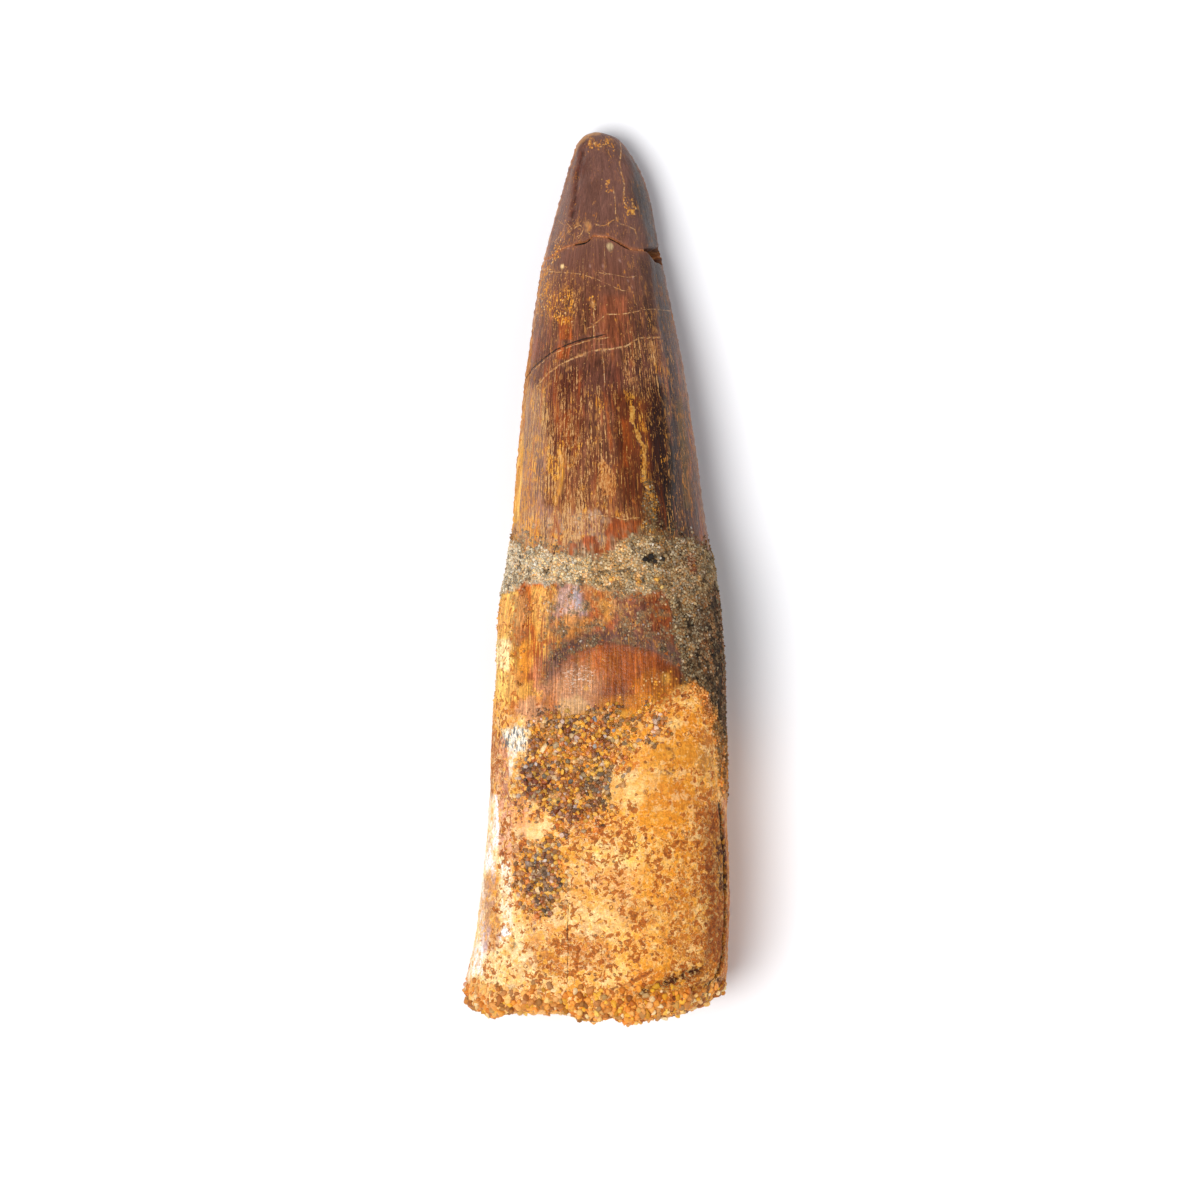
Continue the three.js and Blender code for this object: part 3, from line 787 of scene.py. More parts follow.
area("rust_glow", [(559, 321), (572, 320), (571, 343), (560, 344)], 0.70, 0.25, 0.15, 0.3)
area("rust_glow", [(558, 351), (571, 350), (570, 362), (557, 363)], 0.75, 0.25, 0.15, 0.3)
area("rust_glow", [(528, 346), (540, 340), (546, 352), (534, 366)], 0.35, 0.2, 0.2)
area("rust_glow", [(565, 415), (571, 413), (572, 450), (566, 452)], 0.6, 0.2, 0.12)
area("rust_glow", [(622, 425), (628, 424), (629, 470), (623, 472)], 0.5, 0.2, 0.12)
area("rust_soft", [(636, 402), (648, 402), (652, 470), (644, 474)], 0.35)
for x, y0, y1 in ((700, 500, 540), (686, 360, 372), (697, 420, 430), (706, 470, 480)):
    dot("orange", x, (y0 + y1) / 2, 2, (y1 - y0) / 2, 0.6)
paint("rust", bell(d_lf - 0.3 * WOB1, 0.62) * smooth(-0.1, 0.6, al_lf) * smooth(-0.35, 0.15, MOTTLE + 0.4 * MOTTLE2), 0.8)
paint("dark", bell(d_lf - 0.15 * WOB1, 0.26) * smooth(-0.1, 0.6, al_lf) * smooth(-0.25, 0.2, MOTTLE2 + 0.5 * MOTTLE), 0.85)
area("yellow", [(523.5, 437), (522, 480), (518.5, 525), (505, 532), (500, 440)], 0.95, 0.2, 0.12, 0.3)
area("tan", [(534, 300), (531, 345), (528, 372), (525, 394), (515, 394), (515, 360), (524, 300)], 0.55, 0.2, 0.15, 0.8)
area("purple", [(526, 396), (524, 437), (512, 437), (512, 396)], 0.45, 0.2, 0.2, 0.5)
area("enamel_pale_and_sheen", [(521, 530), (545, 512), (600, 516), (602, 545), (560, 556), (516, 546)], 0.5, 0.4, 0.5, 0.6)
# painted reflection on the left part of the crown, which faces the light
area("enamel_pale_and_sheen", [(521, 392), (540, 388), (546, 470), (542, 528), (514, 528)], 0.45, 0.4, 0.5)
COLUMN = inside([(644, 486), (651, 486), (656, 510), (660, 546), (640, 548), (644, 520)], 0.7, 0.4) * smooth(-0.35, 0.1, MOTTLE + 0.4 * MOTTLE2)
WISP_L = inside([(508, 536), (540, 524), (570, 516), (600, 514), (606, 524), (596, 560), (560, 562), (508, 558)], 0.8, 0.8) * smooth(-0.05, 0.30, MOTTLE + 0.6 * MOTTLE2)
WINDOWS = np.clip(inside([(607, 527), (616, 524), (628, 525), (641, 523), (640, 533), (636, 540), (622, 541), (610, 544), (604, 537)], 0.7, 0.22) + inside([(583, 540), (597, 538), (599, 560), (583, 560)], 0.5, 0.2)
                  + inside([(605, 541), (617, 540), (616, 556), (606, 556)], 0.3, 0.12) + inside([(566, 548), (576, 546), (578, 558), (568, 558)], 0.3, 0.12), 0, 1)
WISP_L = WISP_L * (1 - WINDOWS)
paint("sand_mid", COLUMN, 0.85)
paint("sand_pale", WISP_L, 0.55)
paint("tan", WISP_L * smooth(-0.05, 0.25, MOTTLE2), 0.45)
paint("rust_soft", WINDOWS * smooth(-0.55, -0.15, MOTTLE2), 0.85)
paint("brown", WINDOWS * smooth(-0.1, 0.2, -MOTTLE2), 0.4)
paint("rust", WINDOWS * smooth(0.05, 0.35, MOTTLE2), 0.35)
area("pink", [(560, 548), (582, 548), (590, 562), (572, 566)], 0.35, 0.3, 0.2, 0.8)
# worn rim of the point
area("tan", [(570, 152), (575, 142), (583, 134), (592, 130), (604, 131), (600, 136), (590, 138), (580, 146), (575, 158), (570, 166)], 0.85, 0.15, 0.12)
dot("tan", 586.5, 229, 3.2, 4.6, 0.75, 0.8, 0.10)
dot("orange_brown", 587.5, 231, 1.5, 2.6, 0.6, 0.6, 0.1)
paint("honey", GOLD_LINE, 0.95)
dot("honey", 555.5, 504, 2.4, 4.5, 0.8, 0.2, 0.08)
dot("tan", 578, 227, 2, 1.5, 0.7, 0.2, 0.08)
dot("sand", 610, 250, 3.6, 3.6, 0.95, 0.06, 0.06)
dot("cream", 562, 270, 2.3, 2.3, 0.95, 0.06, 0.06)
dot("tan", 593, 308, 2.5, 3.0, 0.95, 0.1, 0.06)
for x, y, r in ((568, 251, 1.2), (620, 264, 1.4), (590, 269, 1.2), (603, 269, 1.0), (633, 281, 1.3), (628, 284, 1.0), (571, 166, 1.2), (632, 290, 1.0)):
    dot("mauve", x, y, r, r, 0.7, 0.05, 0.06)
edge_noise = fbm(P0, (0.6, 0.5, 0.6), 3, 0.6, 75)
rim_right = bell(np.arctan2(np.sin(TV), np.cos(TV)) - 0.03, 0.16) * CROWN
rim_left = bell(np.arctan2(np.sin(TV - np.pi), np.cos(TV - np.pi)) + 0.03, 0.16) * CROWN
paint("orange_brown", rim_right * smooth(-0.45, 0.0, edge_noise), 0.95)
paint("tan_light", rim_right * smooth(-0.1, 0.3, edge_noise) * smooth(Y_PX(330), Y_PX(400), YV), 0.8)
paint("orange_brown", rim_left * smooth(-0.4, 0.0, edge_noise), 0.95)
paint("tan_light", rim_left * smooth(-0.05, 0.28, edge_noise), 0.75)
for x, y, rx, ry in LINE_LUMPS:
    dot("tan", x, y, rx, ry, 0.75, 0.35, 0.10)
# fracture, chip
paint("orange_brown", bell(D_FRAC, 0.26), 0.30)
paint("brown_dark", chip, 0.95)
paint("dark", chip * smooth(-0.05, 0.25, MOTTLE2 + 0.3 * MOTTLE), 0.55)
paint("brown", chip * smooth(-0.2, 0.15, -MOTTLE2 + 0.3 * MOTTLE), 0.55)
paint("ochre", chip * smooth(0.14, 0.3, -MOTTLE2), 0.5)

# neck
paint("brown", NECK, 0.95)
paint("tan", NECK * smooth(-0.1, 0.5, fbm(P0, 1.2, 3, 0.5, 72)), 0.35)
paint("dark", NECK * smooth(0.1, 0.6, fbm(P0, 1.7, 3, 0.5, 73)), 0.35)
area("orange", [(528, 586), (557, 585), (557, 612), (560, 650), (548, 668), (534, 690), (526, 660), (524, 610)], 0.85, 0.25, 0.25, 0.5)
area("yellow", [(533, 590), (557, 589), (557, 618), (550, 640), (540, 646), (532, 620)], 0.62, 0.25, 0.25, 0.5)
area("mauve", [(558, 588), (585, 592), (588, 614), (578, 626), (566, 634), (556, 620)], 0.80, 0.5, 0.5, 0.9)
area("sand_pale", [(560, 592), (580, 594), (582, 612), (570, 620), (560, 614)], 0.40, 0.4, 0.4, 1.0)
area("orange_brown", [(560, 590), (570, 592), (572, 620), (562, 626)], 0.45, 0.4, 0.3, 1.2)
area("purple", [(554, 620), (592, 618), (592, 644), (562, 646)], 0.6, 0.3, 0.3, 1.0)
area("gold", [(552, 626), (572, 616), (596, 622), (580, 642), (556, 646)], 0.5, 0.4, 0.3, 1.0)
area("orange_brown", [(582, 589), (604, 590), (608, 602), (604, 612), (590, 612)], 0.70, 0.4, 0.35, 0.8)
area("rust_soft", [(596, 606), (616, 606), (622, 620), (620, 637), (600, 640), (590, 624)], 0.55, 0.5, 0.4, 1.0)
area("yellow", [(598, 606), (612, 600), (622, 616), (606, 626)], 0.40, 0.4, 0.3, 1.0)
area("mauve", [(612, 600), (640, 600), (648, 626), (620, 632)], 0.35, 0.4, 0.3, 1.0)
area("brown_dark", [(618, 604), (656, 600), (660, 650), (640, 642), (618, 636)], 0.75, 0.5, 0.4, 1.0)
area("brown_dark", [(640, 600), (676, 594), (684, 660), (664, 654), (646, 640)], 0.55, 0.4, 0.4, 0.9)
area("rust_soft", [(653, 594), (670, 592), (672, 638), (656, 640)], 0.62, 0.5, 0.3, 0.9)
area("grey_dark", [(673, 612), (692, 606), (696, 640), (684, 660), (674, 644)], 0.75, 0.4, 0.3, 0.8)
area("purple", [(622, 612), (646, 606), (652, 628), (630, 634)], 0.5, 0.35, 0.3, 0.8)
area("rust", [(655, 600), (662, 598), (663, 640), (656, 640)], 0.55, 0.3, 0.2, 0.5)
area("pink", [(530, 664), (552, 656), (556, 676), (548, 700), (532, 704)], 0.55, 0.4, 0.35, 1.0)
area("smoke", [(544, 668), (560, 650), (570, 650), (556, 676), (548, 690)], 0.5, 0.4, 0.35, 1.0)
area("brown", [(534, 640), (556, 640), (548, 660), (530, 672), (526, 660)], 0.4, 0.4, 0.3, 1.0)
arc_mid = smooth(1.6, 5.0, al_arc)
ARC_SHADE = bell(d_arc - 0.15, 0.85 + 0.35 * WOB1) * (1 - BAND) * smooth(0.8, 3.4, al_arc)
paint("smoke", ARC_SHADE, 0.85)
paint("grey_dark", bell(d_arc - 0.35, 0.55) * (1 - BAND) * (1 - dome) * smooth(-0.45, 0.2, MOTTLE) * arc_mid, 0.55)
area("smoke", [(542, 626), (560, 620), (564, 650), (552, 672), (544, 676), (540, 656)], 0.42, 0.5, 0.4, 0.9)
area("smoke", [(634, 640), (664, 646), (690, 664), (686, 676), (664, 664), (644, 654)], 0.65, 0.3, 0.4, 0.8)
paint("dome", dome)
area("blush", [(546, 704), (552, 684), (566, 668), (586, 666), (600, 680), (596, 706), (580, 722), (550, 722)], 0.62, 0.35, 1.0)
area("cream", [(556, 706), (580, 700), (590, 712), (570, 722), (556, 720)], 0.35, 0.35, 0.6, 0.6)
dot("yellow", 586.5, 691, 3, 2.2, 0.55, 0.2, 0.08)
area("gold", [(636, 684), (652, 674), (672, 672), (680, 690), (664, 706), (640, 708)], 0.55, 0.4, 0.4, 0.7)
area("orange", [(572, 658), (600, 650), (650, 656), (668, 668), (672, 690), (650, 700), (630, 690), (600, 680)], 0.40, 0.3, 0.6)
area("rust", [(655, 660), (684, 676), (690, 690), (672, 690), (656, 676)], 0.4, 0.35, 0.35)
area("gold", [(598, 700), (640, 696), (668, 690), (670, 712), (640, 722), (600, 718)], 0.45, 0.4, 0.4)
area("yellow", [(494, 598), (519, 594), (522, 640), (520, 700), (514, 716), (488, 716), (484, 640)], 0.95, 0.3, 0.2)
area("cream", [(496, 640), (512, 644), (510, 672), (496, 668)], 0.6, 0.3, 0.2, 0.8)
area("orange", [(496, 606), (508, 600), (514, 626), (504, 640), (494, 630)], 0.5, 0.3, 0.2, 1.0)
area("sand_mid", [(514, 600), (526, 600), (530, 650), (520, 660), (514, 640)], 0.6, 0.4, 0.3, 1.0)
area("brown_dark", [(512, 644), (528, 640), (532, 684), (518, 690)], 0.5, 0.5, 0.3, 1.2)
area("brown", [(520, 596), (527, 594), (532, 640), (534, 690), (524, 700), (522, 650)], 0.55, 0.35, 0.25, 0.8)
area("ochre", [(515, 598), (526, 596), (528, 640), (520, 660), (514, 640)], 0.45, 0.4, 0.3, 0.9)
area("brown", [(514, 680), (534, 676), (540, 712), (520, 716)], 0.6, 0.4, 0.25)

area("ochre", [(510, 604), (524, 600), (526, 622), (516, 632), (509, 622)], 0.6, 0.9, 0.5, 1.8)
area("brown", [(507, 636), (526, 630), (529, 656), (518, 664), (507, 656)], 0.6, 0.9, 0.5, 1.8)
area("gold", [(516, 656), (530, 652), (532, 676), (522, 684), (514, 674)], 0.65, 0.9, 0.5, 1.8)
area("orange_brown", [(508, 674), (522, 670), (526, 698), (512, 704), (506, 690)], 0.6, 0.9, 0.5, 1.8)
area("yellow", [(520, 690), (534, 688), (538, 706), (528, 716), (516, 708)], 0.6, 0.8, 0.5, 1.6)

near_mid = inside([(586, 592), (676, 594), (684, 650), (640, 640), (604, 636), (588, 620)], 0.6, 0.8)
sed = smooth(0.03, 0.25, fbm(P0, 1.0, 4, 0.66, 78) + 0.06 * near_mid) * NECK * (1 - dome) * (1 - smooth(-6.0, -8.0, SV))
paint("sand_mid", sed, 0.8)
paint("tan", sed * near_mid * smooth(-0.05, 0.25, -MOTTLE2), 0.75)
paint("grey_dark", sed * smooth(0.0, 0.3, MOTTLE2), 0.6)

# sand crust
paint("sand", CRUST)
paint("sand_green", CRUST * smooth(-0.05, 0.35, fbm(P0, (1.7, 1.3, 1.7), 3, 0.6, 101)), 0.6)
paint("sand_grey", CRUST * smooth(-0.2, 0.4, fbm(P0, 1.4, 3, 0.5, 74)), 0.6)
paint("sand_dark", CRUST * smooth(0.1, 0.5, grit), 0.55)
paint("sand_light", BAND * smooth(5.5, 2.0, SV) * smooth(-0.3, 0.2, MOTTLE), 0.75)
paint("sand_light", BAND * smooth(-1.0, -6.0, SV) * smooth(-0.45, 0.1, MOTTLE), 0.75)
paint("sand_grey", BAND * smooth(0.05, 0.4, fbm(P0, (2.0, 1.2, 2.0), 3, 0.6, 98)), 0.5)
paint("sand_pale", BAND * smooth(-2.5, -6.5, SV), 0.55)
paint("honey", BAND * smooth(0.26, 0.42, fbm(P0, 0.9, 3, 0.6, 99)), 0.35)
paint("sand_dark", CRUST * smooth(0.20, 0.34, fbm(P0, 0.75, 3, 0.62, 102)), 0.75)
paint("white", BAND * smooth(0.30, 0.42, fbm(P0, 0.6, 2, 0.6, 103)), 0.5)
paint("tan_light", BAND * smooth(0.0, 0.3, fbm(P0, 1.2, 4, 0.6, 79)) * smooth(6.0, 3.0, SV), 0.40)
LAYERS = fbm(P0, (1.6, 1.0, 1.6), 4, 0.65, 133)
paint("grey_dark", BAND * smooth(0.14, 0.28, LAYERS), 0.72)
paint("sand_pale", BAND * smooth(0.14, 0.28, -LAYERS), 0.45)
WISP = smooth(2.3, 0.2, YV - BAND_TOP) * CROWN * smooth(0.02, 0.24, fbm(P0, (0.9, 1.5, 0.9), 4, 0.62, 94) + 0.10)
paint("sand_mid", WISP * smooth(8.0, 6.5, SV), 0.75)
paint("sand_light", WISP * smooth(0.05, 0.3, MOTTLE2) * smooth(6.0, 4.5, SV), 0.6)
paint("sand_dark", crust_right * smooth(Y_PX(600), Y_PX(640), YV), 0.5)
SPLODGE = fbm(P0, (1.2, 0.8, 1.2), 4, 0.62, 111)
paint("grey_dark", CRUST * smooth(0.12, 0.34, SPLODGE), 0.45)
paint("sand_pale", CRUST * smooth(0.04, 0.28, -SPLODGE) * smooth(9.5, 8.0, SV), 0.50)
FLANK = inside([(702, 590), (728, 594), (748, 640), (752, 700), (744, 760), (724, 796), (716, 784), (711, 740), (704, 690), (700, 640)], 1.3, 1.0) * crust_right
paint("sand_dark", FLANK * smooth(-0.45, 0.10, MOTTLE + 0.5 * MOTTLE2), 0.85)
paint("sand_mid", FLANK * smooth(-0.02, 0.22, -MOTTLE - 0.7 * SPLODGE), 0.65)
paint("tan", FLANK * smooth(0.12, 0.34, -MOTTLE - 0.7 * SPLODGE), 0.50)
paint("brown_dark", FLANK * smooth(-0.05, 0.2, -MOTTLE + 0.5 * SPLODGE), 0.45)
paint("black", FLANK * smooth(-0.05, 0.13, MOTTLE + 0.7 * SPLODGE), 0.85)
paint("orange_brown", FLANK * smooth(0.10, 0.32, -MOTTLE - 0.4 * SPLODGE) * smooth(Y_PX(680), Y_PX(720), YV), 0.7)
area("sand_dark", [(682, 664), (700, 660), (706, 690), (700, 704), (690, 690)], 0.7, 0.5, 0.3, 0.8)
area("black", [(711, 596), (724, 598), (734, 660), (738, 740), (728, 786), (718, 776), (716, 730), (713, 660)], 0.75, 0.6, 0.4, 1.5)
area("grey_dark", [(690, 606), (702, 600), (706, 640), (700, 668), (690, 650)], 0.5, 0.6, 0.4, 1.3)
for x, y, rx, ry in ((649, 561, 7.0, 6.5), (662, 563, 3.6, 3), (652, 566, 4, 3), (549, 575, 3, 2.4), (546, 573, 3, 1.5), (521, 568, 2, 2), (525, 572, 1.6, 1.6), (688, 628, 4, 6),
                     (696, 655, 4, 6), (707, 680, 6, 5), (716, 640, 3, 12), (714, 600, 3, 10), (666, 557, 2, 2), (633, 556, 2, 3), (640, 586, 2, 2),
                     (700, 612, 3, 3), (706, 626, 3, 3), (712, 660, 3, 6), (690, 640, 2, 4), (684, 622, 3, 5), (678, 610, 2, 5), (699, 668, 3, 4), (693, 683, 3, 5),
                     (717, 655, 3, 9), (719, 690, 3, 9), (721, 720, 3, 9), (722, 750, 3, 9), (710, 700, 3, 4), (715, 735, 3, 6), (712, 712, 3, 3),
                     (639, 552, 2, 2), (556, 590, 2, 1.4), (701, 588, 2, 3), (709, 574, 1.6, 3), (713, 566, 1.4, 3)):
    dot("black", x, y, rx, ry, 0.95, 0.4, 0.08)
for x, y in ((613, 583), (638, 585), (655, 583)):
    dot("yellow", x, y, 2.6, 2.4, 0.8, 0.15, 0.1)
dot("rust", 692, 575, 3, 3, 0.9, 0.2, 0.1)
area("rust_soft", [(686, 560), (692, 556), (695, 574), (689, 578)], 0.6, 0.3, 0.2, 0.5)

# root
paint("root", ROOT)
big = fbm(P0, (3.4, 4.0, 3.4), 4, 0.6, 81)
paint("gold", ROOT * smooth(-0.05, 0.25, big + 0.25 * MOTTLE), 0.6)
paint("cream", ROOT * smooth(0.0, 0.28, -big + 0.25 * MOTTLE), 0.55)
paint("pink", ROOT * smooth(0.15, 0.5, fbm(P0, 4.0, 3, 0.6, 82)), 0.3)
paint("orange", ROOT * smooth(0.12, 0.4, fbm(P0, 2.2, 4, 0.62, 88)), 0.45)
area("gold", [(655, 742), (674, 738), (694, 741), (697, 757), (686, 770), (664, 766), (650, 756)], 0.9, 0.7, 0.3, 0.7)
area("gold", [(640, 786), (668, 778), (690, 779), (700, 800), (692, 824), (664, 832), (646, 818), (636, 806)], 0.9, 0.9, 0.4, 1.1)
area("orange", [(652, 796), (676, 786), (690, 800), (676, 816), (656, 812)], 0.45, 0.6, 0.4, 1.3)
area("honey", [(656, 752), (676, 744), (690, 754), (676, 764)], 0.5, 0.5, 0.4, 1.2)
area("gold", [(640, 806), (700, 810), (704, 850), (690, 866), (652, 856)], 0.6, 0.3, 0.2, 1.0)
area("gold", [(610, 716), (650, 712), (670, 704), (700, 716), (706, 740), (640, 742), (612, 734)], 0.7, 0.4, 0.3, 0.8)
area("orange", [(560, 806), (590, 800), (606, 812), (600, 838), (560, 836)], 0.7, 0.4, 0.3, 1.0)
area("orange", [(612, 756), (634, 752), (640, 776), (616, 782)], 0.6, 0.3, 0.2, 0.6)
area("cream", [(600, 772), (640, 776), (642, 806), (622, 812), (604, 796)], 0.75, 0.35, 0.25, 0.8)
area("cream", [(518, 829), (526, 819), (538, 822), (549, 815), (556, 821), (550, 832), (546, 839), (533, 841), (522, 838)], 0.85, 0.6, 0.25, 0.6)
area("orange", [(528, 798), (541, 795), (549, 806), (541, 817), (529, 814)], 0.55, 0.5, 0.25, 0.6)
area("cream", [(531, 801), (540, 799), (545, 806), (539, 813), (532, 811)], 0.80, 0.4, 0.15, 0.4)
area("cream", [(566, 868), (600, 858), (640, 870), (632, 900), (606, 916), (570, 910)], 0.5, 0.9, 0.6, 1.3)
area("orange", [(596, 872), (622, 868), (634, 884), (616, 900), (598, 894)], 0.35, 0.6, 0.5, 1.3)
area("cream", [(640, 900), (700, 896), (706, 960), (650, 966)], 0.45, 0.5, 0.4, 1.0)
area("cream", [(500, 900), (530, 910), (540, 970), (490, 985), (470, 970), (484, 910)], 0.6, 0.5, 0.4, 0.9)
area("cream", [(570, 905), (600, 905), (600, 935), (572, 935)], 0.6, 0.4, 0.3, 0.8)
area("yellow", [(585, 892), (600, 888), (612, 900), (604, 912), (590, 910)], 0.7, 0.4, 0.2, 0.8)
area("yellow", [(650, 850), (690, 842), (700, 880), (670, 900), (652, 880)], 0.45, 0.4, 0.3, 1.0)
area("orange_brown", [(696, 790), (714, 786), (718, 820), (717, 900), (705, 905), (694, 880), (692, 820)], 0.6, 0.6, 0.4, 1.2)
area("brown", [(701, 816), (718, 806), (721, 885), (708, 890)], 0.35, 1.0, 0.8, 1.8)
area("mauve", [(704, 870), (722, 866), (722, 960), (704, 960)], 0.45, 0.4, 0.4, 1.0)
area("orange", [(655, 850), (700, 845), (704, 890), (660, 892)], 0.35, 0.5, 0.4, 1.0)
area("orange_brown", [(672, 892), (712, 890), (716, 960), (690, 972), (672, 940)], 0.45, 0.5, 0.4, 1.0)
area("orange_brown", [(530, 940), (560, 936), (600, 946), (620, 960), (560, 972), (535, 968)], 0.6, 0.5, 0.3, 1.0)
area("orange", [(520, 900), (560, 896), (566, 940), (530, 944)], 0.4, 0.5, 0.3, 1.0)
area("pink", [(508, 800), (526, 798), (530, 820), (520, 862), (508, 860), (512, 830)], 0.6, 0.3, 0.2, 0.5)
area("purple", [(514, 836), (526, 834), (526, 852), (518, 862), (512, 856)], 0.5, 0.25, 0.15)
area("orange_brown", [(514, 706), (532, 700), (552, 704), (560, 716), (548, 724), (528, 722), (512, 720)], 0.75, 0.8, 0.5, 1.6)
area("blush", [(518, 708), (532, 704), (542, 712), (538, 724), (520, 724)], 0.7, 0.7, 0.4, 1.2)
area("brown", [(578, 822), (600, 812), (624, 818), (640, 834), (622, 850), (596, 842), (582, 850), (570, 836)], 0.42, 0.7, 0.4, 1.5)
area("orange_brown", [(560, 810), (582, 804), (592, 816), (586, 834), (566, 836), (556, 822)], 0.45, 0.6, 0.4, 1.2)
area("brown", [(566, 932), (590, 928), (612, 940), (606, 962), (580, 968), (562, 954)], 0.45, 0.7, 0.4, 1.5)
area("brown", [(534, 950), (552, 944), (562, 956), (556, 970), (538, 970)], 0.45, 0.6, 0.4, 1.3)
area("brown", [(622, 902), (650, 898), (660, 912), (648, 926), (624, 922)], 0.38, 0.6, 0.4, 1.4)
area("brown", [(676, 872), (694, 868), (702, 892), (690, 908), (674, 896)], 0.35, 0.6, 0.4, 1.4)
area("yellow", [(616, 948), (640, 942), (650, 956), (636, 968), (618, 964)], 0.45, 0.5, 0.4, 1.1)
area("gold", [(648, 872), (676, 866), (682, 894), (668, 912), (648, 902)], 0.5, 0.5, 0.4, 1.1)
area("cream", [(690, 896), (710, 892), (714, 912), (698, 920)], 0.45, 0.5, 0.4, 1.0)
area("cream", [(548, 896), (572, 892), (584, 908), (574, 926), (552, 922)], 0.45, 0.5, 0.4, 1.1)
ZEBRA = inside([(502, 731), (516, 727), (534, 733), (531, 744), (529, 752), (505, 752), (501, 742)], 0.3, 0.12)
paint("white", ZEBRA, 0.95)
dot("cream", 524, 725, 3, 6, 0.95, 0.15, 0.08)
WHITE_STREAK = inside([(503, 750), (522, 750), (518, 764), (513, 778), (510, 796), (504, 797), (505, 772)], 0.22, 0.1)
paint("white", WHITE_STREAK, 0.8)
paint("pink", WHITE_STREAK * smooth(0.05, 0.3, MOTTLE2), 0.5)
paint("pink", strip_rust, 0.85)
paint("brown", strip_rust * smooth(-0.05, 0.2, fbm(P0, (0.5, 1.1, 0.5), 3, 0.6, 100)), 0.75)
strip_paint = mix(strip_cream, ragged(inside([(489, 780), (499, 797), (500, 840), (497, 885), (492, 930), (486, 996), (474, 972), (462, 1002), (460, 944), (448, 918), (464, 892), (456, 858), (472, 836), (464, 806), (478, 782), (470, 752), (482, 746)], 2.2, 1.7), 1.3), SIDE)
strip_paint = strip_paint * (1 - SIDE * smooth(Y_PX(850), Y_PX(765), YV) * smooth(-0.30, 0.05, MOTTLE + 0.8 * MOTTLE2))
paint("cream", strip_paint, 0.95)
paint("white", strip_paint * smooth(-0.3, 0.2, WOB2) * (1 - 0.6 * SIDE), 0.80)
area("blush", [(486, 886), (497, 872), (500, 905), (501, 945), (488, 955), (482, 930)], 0.60, 0.4, 0.3, 0.7)
area("brown", [(488, 884), (497, 874), (500, 905), (501, 945), (490, 950), (486, 925)], 0.60, 0.5, 0.2, 1.6)
area("cream", [(499, 858), (511, 860), (515, 895), (515, 938), (504, 944), (500, 900)], 0.95, 0.2, 0.15, 0.3)
area("white", [(501, 864), (511, 866), (513, 900), (512, 934), (505, 936), (502, 900)], 0.55, 0.3, 0.2, 0.6)
area("brown", [(486, 716), (500, 716), (503, 735), (494, 800), (486, 800), (480, 740)], 0.7, 0.35, 0.2)
area("brown_dark", [(500, 770), (520, 780), (524, 806), (508, 806)], 0.35, 0.35, 0.25)
area("yellow", [(496, 716), (512, 714), (506, 736), (497, 742)], 0.6, 0.3, 0.15)
# under the sand clusters
paint("orange_brown", CLUSTERS, 0.85)
paint("brown_dark", CLUSTERS * smooth(-0.1, 0.3, MOTTLE), 0.8)
paint("gold", CLUSTERS * smooth(0.1, 0.4, fbm(P0, 1.1, 3, 0.6, 89)), 0.9)
paint("brown_dark", CLUSTERS * smooth(0.16, 0.02, CRUMB_UP), 0.7)
area("purple", [(524, 762), (548, 760), (560, 786), (552, 812), (530, 800)], 0.55, 0.4, 0.3, 0.9)
area("rust_soft", [(534, 780), (556, 776), (566, 800), (556, 818), (540, 806)], 0.5, 0.4, 0.3, 0.8)
area("honey", [(536, 728), (556, 720), (564, 732), (548, 742), (538, 740)], 0.8, 0.3, 0.25, 0.6)
area("honey", [(558, 748), (580, 744), (586, 760), (570, 772), (556, 764)], 0.55, 0.4, 0.3, 1.0)
area("honey", [(584, 764), (598, 762), (602, 778), (588, 782)], 0.8, 0.3, 0.25, 0.7)
area("honey", [(609, 724), (624, 716), (628, 740), (612, 746)], 0.85, 0.3, 0.25, 0.6)
area("sand_grey", [(586, 776), (610, 770), (612, 800), (598, 812), (584, 800)], 0.5, 0.4, 0.3, 0.9)
area("sand_grey", [(534, 850), (556, 848), (560, 884), (548, 900), (534, 880)], 0.45, 0.4, 0.3, 0.9)
paint("honey", PLATES * smooth(1.5, 4.0, SV) * smooth(Y_PX(838), Y_PX(820), YV), 0.30)
